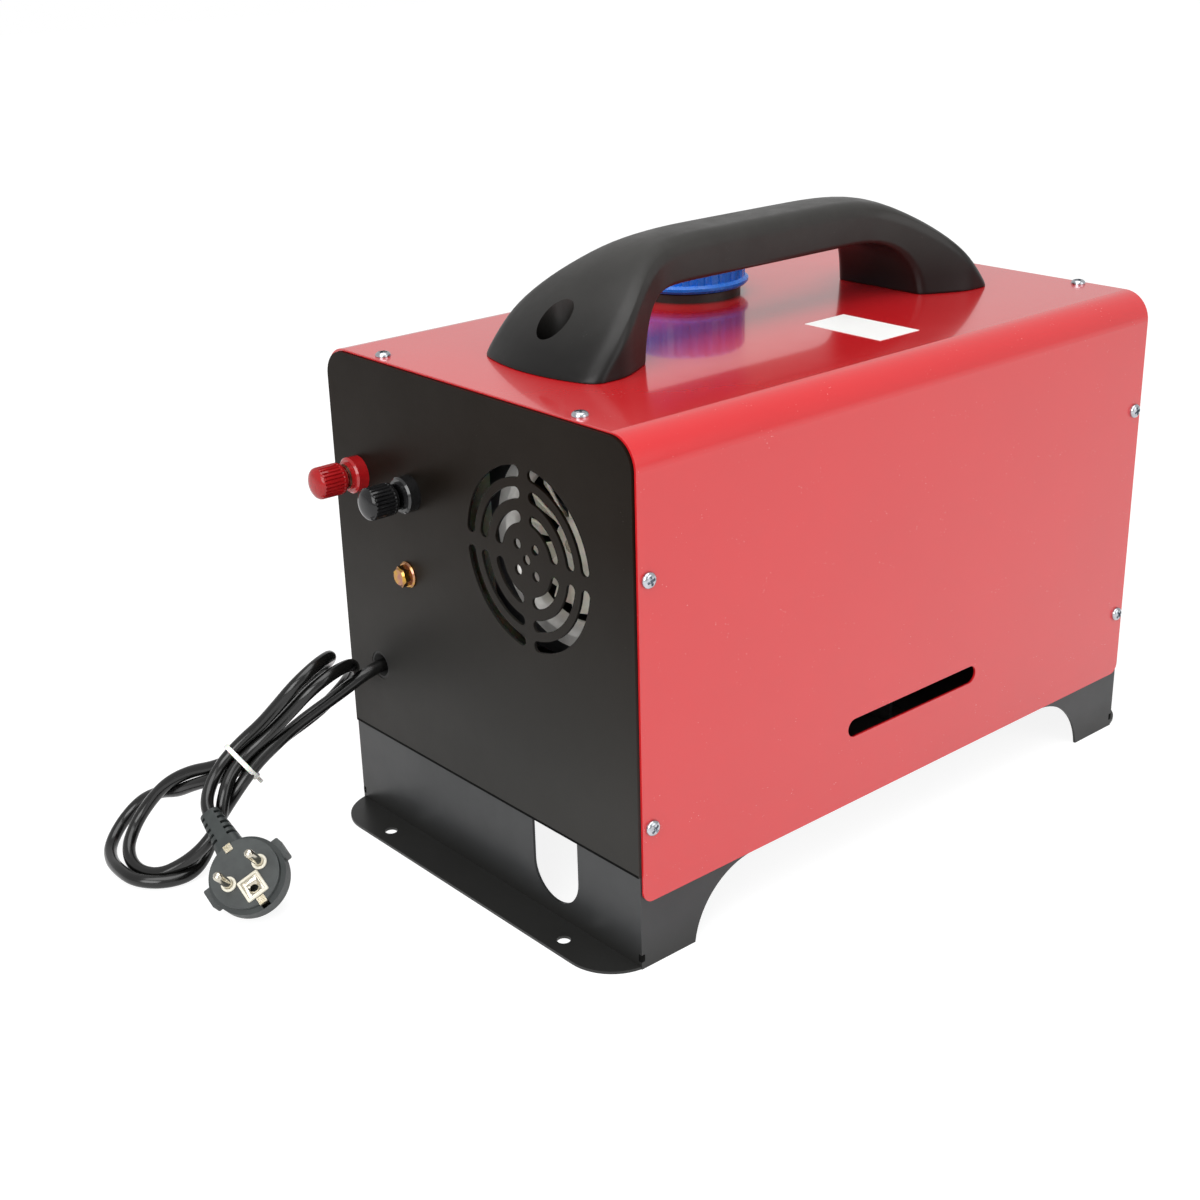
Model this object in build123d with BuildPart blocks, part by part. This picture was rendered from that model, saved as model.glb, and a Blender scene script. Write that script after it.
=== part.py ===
from build123d import *
import math
import os

os.makedirs("parts", exist_ok=True)

# A portable diesel air heater: a sheet-steel case with a carrying handle holds a fuel tank,
# a heater core, a mains supply and a fuel pump.
# X runs along the case from the air inlet (-X) to the warm-air outlet (+X).
# -Y is the heater's side, +Y the tank's side. Z is up, with 0 on the floor. Millimetres.

# ---------------------------------------------------------------- sizes: case
case_length = 392.0  # over the faces of the two end panels
case_width = 244.0
case_height = 270.0  # from the floor to the top of the cover
case_corner = 16.0  # outer radius of the cover's two long bends
cover_steel = 1.2
chassis_steel = 1.5
sheet_gap = 0.2  # between the cover and the chassis that it closes over
panel_proud = 1.7  # the end panels stand out past the cover's ends
cover_low = 37.0  # lower edge of the cover above the floor
cover_foot_corner = 6.0
vent_slot_length = 104.7
vent_slot_height = 10.3
vent_slot_x = 2.0
vent_slot_z = 80.7

# ---------------------------------------------------------------- sizes: tray
tray_top = 51.3
tray_step = 0.8  # the foot plates lie this far behind the end panels
skirt_low = 36.0
leg_width = 36.0
arch_radius = 41.5
floor_flange = 22.0
floor_flange_corner = 27.0
floor_hole_radius = 3.5
floor_hole_out = 12.3  # from the foot plate's face
floor_hole_spacing = 151.5
hose_slot_width = 35.3
hose_slot_y = -56.0
hose_slot_low = 9.9
relief_notch = 4.0
relief_notch_z = 6.0

# ---------------------------------------------------------------- sizes: end panels and fasteners
panel_flange = 14.0
panel_seam = 0.3  # shadow gap between an end panel and the tray
screw_in = 6.0  # from the cover's ends to the screws
side_screw_heights = (77.0, 203.0)
top_screw_y = 78.0
screw_radius = 1.95
screw_hole = 2.1
screw_head_radius = 4.0
screw_head_height = 2.5
screw_length = 8.0
tray_screw_y = (-80.0, 0.0, 80.0)

# ---------------------------------------------------------------- sizes: inlet panel
core_in = 78.0  # from the case's side to the heater core's axis
core_drop = 76.7  # from the cover's top to the axis
grille_radii = (21.6, 33.2, 43.7)  # centre lines of the three rings of slots
grille_slot = 6.0
grille_spoke = 6.6
grille_hole = 2.65
grille_hole_ring = 9.5
post_drop = 65.5  # the posts' line below the cover's top
post_spots_y = (97.6, 50.8)  # red, black
post_thread = 2.5
earth_bolt_y = 57.3
earth_bolt_z = 157.9
lead_y = 91.0
lead_z = 95.0
lead_hole = 8.0

# ---------------------------------------------------------------- sizes: handle
handle_tip = 158.5  # from the middle to each end
handle_inner_foot = 104.5
handle_rise = 56.5  # the grip's top above the cover
grip_clear = 32.0  # the grip's underside above the cover
grip_half_width = 18.0
handle_foot_half_width = 44.5
handle_screw_x = 137.4
crown_round = 7.0  # where the crown rolls over into the sides
handle_recess = 9.5
handle_foot_thick = 8.0  # under the screw's head
handle_thread = 3.0
handle_head_radius = 5.25
handle_head_height = 3.3
handle_screw_length = 16.0
nut_across_flats = 10.0
nut_height = 5.0

# ---------------------------------------------------------------- sizes: tank and filler
wall_clearance = 0.3
tank_end_gap = 31.0  # from the end panels' faces to the tank
tank_low = 104.0
tank_top_gap = 8.0  # below the cover's top
tank_side_gap = 8.0  # from the case's side
tank_core_gap = 10.0  # from the heater core's shell
tank_wall = 2.5
tank_corner = 12.0
filler_x = 21.0
filler_shift = 4.0  # from the tank's middle to the filler
neck_radius = 27.0
neck_bore = 23.5
neck_rise = 24.0  # above the cover
collar_radius = 31.0
collar_height = 5.5
cap_rise = 31.5  # above the cover
cap_radius = 33.5
cap_bead_radius = 35.5
cap_bead_height = 4.5
cap_flutes = 24
cap_shoulder = 2.0
hose_radius = 2.5
strap_steel = 1.0
strap_width = 20.0
strap_spots_x = (-110.0, 95.0)
seal_thickness = 2.5

# ---------------------------------------------------------------- sizes: heater core
shell_width = 116.0
shell_height = 118.0
shell_corner = 28.0
shell_wall = 3.0
shell_start = -172.0
shell_end = 150.0
outlet_radius = 39.0
outlet_wall = 2.0
shaft_radius = 4.0
motor_radius = 27.0
impeller_radius = 38.0
impeller_blades = 11
pipe_radius = 12.0
pipe_wall = 1.2
pipe_low = 22.0
hose_seat = 22.0  # length of each pipe's free end below its bead
exhaust_x = -12.0
intake_x = -52.0
core_pipe_boss = 15.0
inlet_mouth = 46.0
housing_radius = 38.0
housing_end = -82.0
motor_start = -142.0
motor_end = -106.0
wheel_wall = 4.0
combustion_fan_radius = 33.8
board_x = -104.0
board_length = 42.0
board_width = 40.0
fan_start = -168.0
fan_depth = 20.0
fan_hub_radius = 14.0
blade_root = 22.0
blade_tip = 26.0
blade_steel = 1.6
blade_root_pitch = 50.0
blade_tip_pitch = 62.0
exchanger_radius = 40.0
exchanger_end = 125.0
fin_start = -30.0
fin_count = 20
fin_radius = 52.0
fin_thickness = 2.0
chamber_radius = 30.5
chamber_length = 140.0
glow_plug_x = -66.0
glow_plug_radius = 4.0
bracket_x = -32.0
bracket_length = 105.0
bracket_width = 96.0
bracket_steel = 2.0
bracket_foot = 14.0

# ---------------------------------------------------------------- sizes: fuel line
outlet_nipple_x = 120.0
outlet_nipple_length = 8.0
nipple_length = 8.0
pump_height = 28.7  # the pump's axis above the tray
pump_radius = 12.0
pump_back_y = -8.0  # its end on the tank's side
pump_length = 52.0
holder_width = 14.0
filter_radius = 11.0
filter_length = 28.0
filter_back_y = 50.0
fuel_inlet_x = 45.0
fuel_inlet_y = -60.0
fuel_inlet_length = 8.0

# ---------------------------------------------------------------- sizes: mains supply, outlet and controls
supply_length = 150.0
supply_inset = 3.0  # narrower than the tank above it on each side
supply_height = 40.0
supply_x = -90.0
outlet_reach = 16.0  # the collar's spigot past the outlet panel
louvre_radius = 43.0
louvre_depth = 24.0
vane_count = 6
vane_pitch = 35.0
vane_chord = 12.0
vane_thickness = 1.6
controls_y = 62.0
controls_drop = 64.0  # below the cover's top
bezel_width = 92.0
bezel_height = 64.0
bezel_proud = 7.0
bezel_depth = 16.0  # behind the panel
bezel_wall = 2.5
window_width = 62.0
window_height = 28.0
window_rise = 11.0  # the display's centre above the controls' centre
button_radius = 4.5
button_drop = 18.0  # the buttons' row below the controls' centre
button_spacing = 19.0
button_travel = 1.0
button_proud = button_travel + 0.8

# ---------------------------------------------------------------- sizes: binding posts and earth bolt
post_spigot = 3.7
post_base_radius = 9.7
post_base_length = 7.0
post_step_radius = 7.4
post_step_end = 8.6
washer_start = 8.9
washer_radius = 6.8
washer_thickness = 1.0
knob_start = 10.2
knob_neck_radius = 5.6
knob_shoulder = 12.0
knob_radius = 8.6
knob_grip = 14.0  # where the flutes start
knob_tip = 27.5
knob_tip_radius = 7.2
knob_flutes = 24
knob_turns = 3
thread_pitch = 0.8
stud_inside = 16.0
stud_outside = knob_start + knob_turns * thread_pitch + 6.4  # the knob stays on it when unscrewed
knob_bore = stud_outside - knob_start + 3.2
bolt_thread = 3.0
bolt_flange = 1.8
bolt_flange_radius = 7.2
bolt_head = 6.5
bolt_length = 14.0

# ---------------------------------------------------------------- sizes: mains lead
lead_radius = 3.5
grommet_radius = 10.5
grommet_tail = 12.0
grommet_fit = 0.05
tie_centre = Vector(-276.3, 111.2, 56.3)  # the tie's middle, where the folded lead is bound
bundle_way = Vector(0.823, -0.135, 0.551)  # along the bundle, up towards the case
fan_way = Vector(-0.279, 0.749, 0.601)  # across the bundle, the way its strands lie side by side
waist_wide = 24.0
waist_thick = 15.0
waist_long = 30.0
upper_loops_reach = 54.0
upper_loops_radius = 24.5
upper_loops_thick = 13.0
upper_loops_shift = 2.7
lower_loops_end = Vector(-327.8, 156, 5.9)
lower_loops_reach = 49.8
lower_loops_radius = 33.1
lower_loops_thick = 8.5
tie_band = 1.2
tie_width = 3.6
lead_points = [(-184, 91, 95), (-214, 91, 94.5), (-240, 98.5, 79), (-266.5, 104.5, 57.5)]
plug_lead_points = [(-275.5, 112.2, 63), (-287.7, 115.6, 56.4), (-297.8, 112, 48.6)]  # from the tie to the relief

# ---------------------------------------------------------------- sizes: plug
plug_face_centre = Vector(-312.7, 51.9, 27.4)
plug_pin_way = Vector(-0.5543, -0.4512, 0.6994)
plug_cable_way = Vector(-0.025, 0.849, 0.528)
plug_face_radius = 18.4
plug_body_radius = 20.6
plug_depth = 26.0
pin_radius = 2.4
pin_spacing = 19.0
pin_length = 19.0
relief_length = 30.0
relief_slant = 12.0  # degrees that the relief leans back from the plug's face
relief_grip = 6.0  # length of lead inside the relief's end
relief_slots = 5
earth_socket_drop = 8.5
earth_socket_side = 8.0

# ---------------------------------------------------------------- sizes that follow
cover_length = case_length - 2 * panel_proud
panel_inset = cover_steel + sheet_gap
panel_low = tray_top + panel_seam
inlet_face = -case_length / 2
outlet_face = case_length / 2
inlet_inside = inlet_face + chassis_steel
tray_length = case_length - 2 * tray_step
tray_width = case_width - 2 * panel_inset
screw_x = cover_length / 2 - screw_in
handle_top = case_height + handle_rise
grip_under = case_height + grip_clear
handle_recess_floor = case_height + handle_foot_thick
core_y = core_in - case_width / 2
core_z = case_height - core_drop
post_z = case_height - post_drop
controls_z = case_height - controls_drop
tank_length = case_length - 2 * tank_end_gap
tank_width = case_width / 2 - tank_side_gap - core_y - shell_width / 2 - tank_core_gap
tank_y = case_width / 2 - tank_side_gap - tank_width / 2
tank_high = case_height - tank_top_gap
filler_y = tank_y + filler_shift
neck_top = case_height + neck_rise
cap_top = case_height + cap_rise
supply_width = tank_width - 2 * supply_inset
cover_underside = case_height - cover_steel


def case_outline(at_x, inset, low):
    """Upright outline of the case at a place along it, drawn in by an inset, with round top corners."""
    with BuildSketch(Plane.YZ.offset(at_x)) as outline:
        top = case_height - inset
        with Locations((0, (top + low) / 2)):
            Rectangle(case_width - 2 * inset, top - low)
        fillet(outline.vertices().group_by(Axis.Y)[-1], case_corner - inset)
    return outline.sketch


def screw_spots():
    """Where the twelve screws sit on the cover, each turned so that its head points out."""
    spots = []
    for x in (-screw_x, screw_x):
        for z in side_screw_heights:
            spots.append(Location((x, -case_width / 2, z), (90, 0, 0)))
            spots.append(Location((x, case_width / 2, z), (-90, 0, 0)))
        for y in (-top_screw_y, top_screw_y):
            spots.append(Location((x, y, case_height)))
    return spots


def disc(at_x, y, z, radius):
    """A round face that looks along the case, centred on a line across it."""
    with BuildSketch(Plane.YZ.offset(at_x)) as face:
        with Locations((y, z)):
            Circle(radius)
    return face.sketch


# ---------------------------------------------------------------- base tray
arch_centre = tray_length / 2 - leg_width - math.sqrt(arch_radius**2 - (arch_radius - skirt_low) ** 2)

with BuildPart() as base_tray:
    with BuildSketch(Plane.XY.offset(tray_top - chassis_steel)):
        Rectangle(tray_length, tray_width)
    extrude(amount=chassis_steel)
    # Long skirts with an arch behind each leg.
    with BuildSketch(Plane.XZ.offset(tray_width / 2)):
        with Locations((0, tray_top / 2)):
            Rectangle(tray_length, tray_top)
        with Locations((0, skirt_low / 2)):
            Rectangle(2 * arch_centre, skirt_low, mode=Mode.SUBTRACT)
        with Locations((-arch_centre, skirt_low - arch_radius), (arch_centre, skirt_low - arch_radius)):
            Circle(arch_radius, mode=Mode.SUBTRACT)
    extrude(amount=-chassis_steel)
    mirror(about=Plane.XZ)
    # Foot plates across the ends.
    for x in (-tray_length / 2, tray_length / 2 - chassis_steel):
        with BuildSketch(Plane.YZ.offset(x)):
            with Locations((0, tray_top / 2)):
                Rectangle(tray_width, tray_top)
        extrude(amount=chassis_steel)
    # Hose slot, open at the top, in the inlet end's foot plate.
    with BuildSketch(Plane.YZ.offset(-tray_length / 2)):
        slot_centre = hose_slot_low + hose_slot_width / 2
        with Locations((hose_slot_y, slot_centre)):
            Circle(hose_slot_width / 2)
        with Locations((hose_slot_y, (slot_centre + tray_top) / 2)):
            Rectangle(hose_slot_width, tray_top - slot_centre)
    extrude(amount=3 * chassis_steel, mode=Mode.SUBTRACT)
    # Outward flanges that stand on the floor, with the fixing holes.
    with BuildSketch() as flanges:
        Rectangle(tray_length + 2 * floor_flange, tray_width)
        fillet(flanges.vertices(), floor_flange_corner)
        Rectangle(tray_length - 2 * chassis_steel, tray_width, mode=Mode.SUBTRACT)
        with GridLocations(tray_length + 2 * floor_hole_out, floor_hole_spacing, 2, 2):
            Circle(floor_hole_radius, mode=Mode.SUBTRACT)
    extrude(amount=chassis_steel)
    # Relief notches where the foot plates' and the skirts' bends meet.
    with Locations(*[(x, y, relief_notch_z) for x in (-tray_length / 2, tray_length / 2)
                     for y in (-tray_width / 2, tray_width / 2)]):
        Box(relief_notch, relief_notch, relief_notch, mode=Mode.SUBTRACT)
    # Holes for the exhaust and the intake pipe.
    with Locations((exhaust_x, core_y, tray_top), (intake_x, core_y, tray_top)):
        Cylinder(pipe_radius + 2, 4 * chassis_steel, mode=Mode.SUBTRACT)
    # Holes for the screws that hold the end panels down.
    for x in (-screw_x, screw_x):
        with Locations(*[(x, y, tray_top) for y in tray_screw_y]):
            Cylinder(screw_hole, 4 * chassis_steel, mode=Mode.SUBTRACT)
base_tray.part.label = "base_tray"
export_step(base_tray.part, "parts/base_tray.step")

# ---------------------------------------------------------------- screws of the case
with BuildPart() as pan_screw:
    with BuildSketch(Plane.XZ):
        with BuildLine():
            Polyline((0, screw_head_height), (screw_head_radius - 1.5, screw_head_height),
                     (screw_head_radius, screw_head_height - 1.5), (screw_head_radius, 0), (screw_radius, 0),
                     (screw_radius, -screw_length), (0, -screw_length), close=True)
        make_face()
    revolve(axis=Axis.Z)

with BuildPart() as cover_screws:
    with Locations(*screw_spots()):
        add(pan_screw.part)
cover_screws.part.label = "cover_screws"
export_step(cover_screws.part, "parts/cover_screws.step")

with BuildPart() as tray_screws:
    for x in (-screw_x, screw_x):
        with Locations(*[Location((x, y, tray_top - chassis_steel), (180, 0, 0)) for y in tray_screw_y]):
            add(pan_screw.part)
tray_screws.part.label = "tray_screws"
export_step(tray_screws.part, "parts/tray_screws.step")


# ---------------------------------------------------------------- end panels
def panel_shell(face_x, side):
    """An end panel: its plate at face_x and a flange turned in along all four edges. side is +1 inwards."""
    with BuildPart() as shell:
        extrude(case_outline(face_x, panel_inset, panel_low), amount=side * (chassis_steel + panel_flange))
        extrude(case_outline(face_x + side * chassis_steel, panel_inset + chassis_steel,
                             panel_low + chassis_steel),
                amount=side * panel_flange, mode=Mode.SUBTRACT)
        with Locations(*screw_spots()):
            Cylinder(screw_hole, 12, mode=Mode.SUBTRACT)
        with Locations(*[(-side * screw_x, y, panel_low) for y in tray_screw_y]):
            Cylinder(screw_hole, 6, mode=Mode.SUBTRACT)
    return shell.part


with BuildPart() as inlet_end_panel:
    add(panel_shell(inlet_face, 1))
    # Fan grille: three rings of four slots round a cluster of five holes.
    with BuildSketch(Plane.YZ.offset(inlet_face)):
        with Locations((core_y, core_z)):
            for radius in grille_radii:
                margin = math.degrees((grille_spoke + grille_slot) / 2 / radius)
                for quarter in range(4):
                    with BuildLine(mode=Mode.PRIVATE) as slot_line:
                        CenterArc((0, 0), radius, 90 * quarter + margin, 90 - 2 * margin)
                    SlotArc(slot_line.edges()[0], grille_slot)
            Circle(grille_hole)
            with PolarLocations(grille_hole_ring, 4, start_angle=45):
                Circle(grille_hole)
    extrude(amount=chassis_steel, mode=Mode.SUBTRACT)
    # Holes for the two binding posts, the earth bolt and the mains lead.
    for y in post_spots_y:
        extrude(disc(inlet_face, y, post_z, post_thread + 1.5), amount=chassis_steel, mode=Mode.SUBTRACT)
    extrude(disc(inlet_face, lead_y, lead_z, lead_hole), amount=chassis_steel, mode=Mode.SUBTRACT)
    # The earth bolt's nut is pressed into the plate.
    with BuildSketch(Plane.YZ.offset(inlet_inside)):
        with Locations((earth_bolt_y, earth_bolt_z)):
            RegularPolygon(nut_across_flats / 2, 6, major_radius=False)
    extrude(amount=nut_height)
    extrude(disc(inlet_face, earth_bolt_y, earth_bolt_z, bolt_thread + 0.05), amount=chassis_steel + nut_height,
            mode=Mode.SUBTRACT)
inlet_end_panel.part.label = "inlet_end_panel"
export_step(inlet_end_panel.part, "parts/inlet_end_panel.step")

# ---------------------------------------------------------------- cover
with BuildPart() as cover:
    extrude(case_outline(-cover_length / 2, 0, cover_low), amount=cover_length)
    extrude(case_outline(-cover_length / 2, cover_steel, 0), amount=cover_length, mode=Mode.SUBTRACT)
    fillet(cover.edges().filter_by(Axis.Y).group_by(Axis.Z)[0], cover_foot_corner)
    with BuildSketch(Plane.XZ.offset(case_width / 2)):
        with Locations((vent_slot_x, vent_slot_z)):
            SlotOverall(vent_slot_length, vent_slot_height)
    extrude(amount=-cover_steel, mode=Mode.SUBTRACT)
    with Locations(*screw_spots()):
        Cylinder(screw_hole, 4 * cover_steel, mode=Mode.SUBTRACT)
    with Locations((filler_x, filler_y, case_height)):
        Cylinder(neck_radius + 1, 4 * cover_steel, mode=Mode.SUBTRACT)
    with Locations((-handle_screw_x, 0, case_height), (handle_screw_x, 0, case_height)):
        Cylinder(handle_thread + 0.2, 4 * cover_steel, mode=Mode.SUBTRACT)
cover.part.label = "cover"
export_step(cover.part, "parts/cover.step")

# ---------------------------------------------------------------- carrying handle
with BuildPart() as carry_handle:
    with BuildSketch(Plane.XZ.offset(handle_foot_half_width + 5)):
        with BuildLine():
            crown = Spline((-handle_tip, case_height + 3), (-handle_screw_x, case_height + 24),
                           (-115, handle_top - 16), (-89, handle_top - 4), (-62, handle_top), (0, handle_top),
                           (62, handle_top), (89, handle_top - 4), (115, handle_top - 16),
                           (handle_screw_x, case_height + 24), (handle_tip, case_height + 3))
            Line(crown @ 1, (handle_tip, case_height))
            Line((handle_tip, case_height), (handle_inner_foot, case_height))
            arch_right = Spline((handle_inner_foot, case_height), (handle_inner_foot - 3, case_height + 14),
                                (handle_inner_foot - 11.5, grip_under - 6), (76, grip_under),
                                tangents=((-0.05, 1), (-1, 0)))
            Line(arch_right @ 1, (-76, grip_under))
            arch_left = Spline((-76, grip_under), (11.5 - handle_inner_foot, grip_under - 6),
                               (3 - handle_inner_foot, case_height + 14), (-handle_inner_foot, case_height),
                               tangents=((-1, 0), (-0.05, -1)))
            Line(arch_left @ 1, (-handle_tip, case_height))
            Line((-handle_tip, case_height), crown @ 0)
        make_face()
    extrude(amount=-2 * (handle_foot_half_width + 5))
    with BuildSketch(Plane.XY.offset(case_height)):
        with BuildLine():
            quarter_line = Spline((handle_tip, 0), (156.5, 15), (151.5, 31), (143, 42), (132, handle_foot_half_width),
                                  (119, 38), (handle_inner_foot, 29), (85, 21.5), (62, grip_half_width + 0.6),
                                  (0, grip_half_width), tangents=((0, 1), (-1, 0)))
            mirror(quarter_line, about=Plane.YZ)
            mirror(about=Plane.XZ)
        make_face()
    extrude(amount=70, mode=Mode.INTERSECT)
    crown_face = carry_handle.faces().sort_by(Axis.Z)[-1]
    fillet(crown_face.edges().filter_by(lambda edge: edge.length > handle_tip), crown_round)
    with Locations((-handle_screw_x, 0, handle_recess_floor), (handle_screw_x, 0, handle_recess_floor)):
        Cylinder(handle_recess, 60, align=(Align.CENTER, Align.CENTER, Align.MIN), mode=Mode.SUBTRACT)
        Cylinder(handle_thread + 0.2, 60, mode=Mode.SUBTRACT)
carry_handle.part.label = "carry_handle"
export_step(carry_handle.part, "parts/carry_handle.step")

with BuildPart() as handle_screws:
    for x in (-handle_screw_x, handle_screw_x):
        with Locations((x, 0, handle_recess_floor)):
            Cylinder(handle_head_radius, handle_head_height, align=(Align.CENTER, Align.CENTER, Align.MIN))
            Cylinder(handle_thread, handle_screw_length, align=(Align.CENTER, Align.CENTER, Align.MAX))
            with Locations((0, 0, handle_head_height)):
                Cylinder(2.3, 5, mode=Mode.SUBTRACT)
    chamfer(handle_screws.edges().filter_by(GeomType.CIRCLE).group_by(Axis.Z)[-1].sort_by(SortBy.RADIUS)[-2:], 1)
handle_screws.part.label = "handle_screws"
export_step(handle_screws.part, "parts/handle_screws.step")

with BuildPart() as handle_nuts:
    with BuildSketch(Plane.XY.offset(cover_underside)):
        with Locations((-handle_screw_x, 0), (handle_screw_x, 0)):
            RegularPolygon(nut_across_flats / 2, 6, major_radius=False)
            Circle(handle_thread, mode=Mode.SUBTRACT)
    extrude(amount=-nut_height)
handle_nuts.part.label = "handle_nuts"
export_step(handle_nuts.part, "parts/handle_nuts.step")

# ---------------------------------------------------------------- fuel tank
tank_mid_z = (tank_low + tank_high) / 2
tank_tall = tank_high - tank_low

with BuildPart() as fuel_tank:
    with Locations((0, tank_y, tank_mid_z)):
        Box(tank_length, tank_width, tank_tall)
    fillet(fuel_tank.edges(), tank_corner)
    with Locations((filler_x, filler_y, tank_high - tank_wall)):
        Cylinder(neck_radius, neck_top - tank_high + tank_wall, align=(Align.CENTER, Align.CENTER, Align.MIN))
    with BuildPart(mode=Mode.PRIVATE) as tank_inside:
        with Locations((0, tank_y, tank_mid_z)):
            Box(tank_length - 2 * tank_wall, tank_width - 2 * tank_wall, tank_tall - 2 * tank_wall)
        fillet(tank_inside.edges(), tank_corner - tank_wall)
    add(tank_inside.part, mode=Mode.SUBTRACT)
    with Locations((filler_x, filler_y, tank_high - 2 * tank_wall)):
        Cylinder(neck_bore, 60, align=(Align.CENTER, Align.CENTER, Align.MIN), mode=Mode.SUBTRACT)
    with Locations((outlet_nipple_x, tank_y, tank_low)):
        Cylinder(hose_radius, outlet_nipple_length, align=(Align.CENTER, Align.CENTER, Align.MAX))
fuel_tank.part.label = "fuel_tank"
export_step(fuel_tank.part, "parts/fuel_tank.step")

# Two steel straps hold the tank down on the supports that they are bent from.
with BuildPart() as tank_straps:
    for x in strap_spots_x:
        with BuildSketch(Plane.YZ.offset(x - strap_width / 2)) as strap_line:
            with Locations((tank_y, (tank_high + strap_steel + tray_top) / 2)):
                Rectangle(tank_width + 2 * strap_steel + 2 * wall_clearance, tank_high + strap_steel - tray_top)
            fillet(strap_line.vertices().group_by(Axis.Y)[-1], tank_corner + strap_steel)
            with Locations((tank_y, tank_mid_z)):
                RectangleRounded(tank_width + 2 * wall_clearance, tank_tall, tank_corner, mode=Mode.SUBTRACT)
            with Locations((tank_y, (tray_top + tank_low - strap_steel) / 2)):
                Rectangle(tank_width + 2 * wall_clearance, tank_low - strap_steel - tray_top, mode=Mode.SUBTRACT)
        extrude(amount=strap_width)
tank_straps.part.label = "tank_straps"
export_step(tank_straps.part, "parts/tank_straps.step")

# ---------------------------------------------------------------- filler collar, cap and seal
collar_top = case_height + collar_height
with BuildPart() as filler_collar:
    with BuildSketch(Plane.XY.offset(case_height)):
        with Locations((filler_x, filler_y)):
            Circle(collar_radius)
            Circle(neck_radius + wall_clearance, mode=Mode.SUBTRACT)
    extrude(amount=collar_height)
    chamfer(filler_collar.edges().filter_by(GeomType.CIRCLE).group_by(Axis.Z)[-1].sort_by(SortBy.RADIUS)[-1], 1)
filler_collar.part.label = "filler_collar"
export_step(filler_collar.part, "parts/filler_collar.step")

cap_low = collar_top + wall_clearance
seal_low = neck_top + wall_clearance
cap_ceiling = seal_low + seal_thickness + wall_clearance
cap_plan = Plane(origin=(filler_x, filler_y, 0), x_dir=(1, 0, 0), z_dir=(0, -1, 0))
with BuildPart() as filler_cap:
    with BuildSketch(cap_plan):
        with BuildLine():
            bead = Line((cap_bead_radius - 1.5, cap_low), (neck_radius + 2 * wall_clearance, cap_low))
            Polyline(bead @ 1, (neck_radius + 2 * wall_clearance, cap_ceiling), (0, cap_ceiling), (0, cap_top),
                     (cap_radius - cap_shoulder, cap_top), (cap_radius, cap_top - cap_shoulder),
                     (cap_radius, cap_low + cap_bead_height), (cap_bead_radius, cap_low + cap_bead_height - 1.5),
                     (cap_bead_radius, cap_low + 1.5), bead @ 0)
        make_face()
    revolve(axis=Axis((filler_x, filler_y, 0), (0, 0, 1)))
    # Grip flutes round the skirt, down to the bead.
    with BuildSketch(Plane.XY.offset(cap_low + cap_bead_height)):
        with Locations((filler_x, filler_y)):
            with PolarLocations(cap_radius + 1.6, cap_flutes, start_angle=180 / cap_flutes):
                Circle(3.0)
    extrude(amount=cap_top, mode=Mode.SUBTRACT)
filler_cap.part.label = "filler_cap"
export_step(filler_cap.part, "parts/filler_cap.step")

with BuildPart() as cap_seal:
    with Locations((filler_x, filler_y, seal_low)):
        Cylinder(neck_radius, seal_thickness, align=(Align.CENTER, Align.CENTER, Align.MIN))
cap_seal.part.label = "cap_seal"
export_step(cap_seal.part, "parts/cap_seal.step")

# ---------------------------------------------------------------- heater core
core_line = Axis((0, core_y, core_z), (1, 0, 0))
core_half_plan = Plane(origin=(0, core_y, core_z), x_dir=(1, 0, 0), z_dir=(0, -1, 0))
shell_low = core_z - shell_height / 2
inner_half_width = shell_width / 2 - shell_wall
inner_half_height = shell_height / 2 - shell_wall
boss_low = core_z - inner_half_height + 10


def core_section(at_x, inset):
    """The core shell's rounded-square section at a place along it, drawn in by an inset."""
    with BuildSketch(Plane.YZ.offset(at_x)) as section:
        with Locations((core_y, core_z)):
            RectangleRounded(shell_width - 2 * inset, shell_height - 2 * inset, shell_corner - inset)
    return section.sketch


with BuildPart() as whole_shell:
    extrude(core_section(shell_start, 0), amount=shell_end - shell_start)
    extrude(core_section(shell_start + shell_wall, shell_wall), amount=shell_end - shell_start - 2 * shell_wall,
            mode=Mode.SUBTRACT)
    extrude(disc(shell_start, core_y, core_z, inlet_mouth), amount=shell_wall, mode=Mode.SUBTRACT)
    extrude(disc(shell_end, core_y, core_z, outlet_radius - outlet_wall), amount=-shell_wall, mode=Mode.SUBTRACT)
    with Locations((exhaust_x, core_y, shell_low), (intake_x, core_y, shell_low)):
        Cylinder(pipe_radius + 1, 4 * shell_wall, mode=Mode.SUBTRACT)
    with Locations((fuel_inlet_x, fuel_inlet_y, shell_low)):
        Cylinder(hose_radius, fuel_inlet_length, align=(Align.CENTER, Align.CENTER, Align.MAX))

with BuildPart() as upper_shell:
    add(whole_shell.part)
    split(bisect_by=Plane.XY.offset(core_z + 0.1), keep=Keep.TOP)
upper_shell.part.label = "upper_shell"
export_step(upper_shell.part, "parts/upper_shell.step")

with BuildPart() as lower_shell:
    add(whole_shell.part)
    split(bisect_by=Plane.XY.offset(core_z - 0.1), keep=Keep.BOTTOM)
lower_shell.part.label = "lower_shell"
export_step(lower_shell.part, "parts/lower_shell.step")

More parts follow.
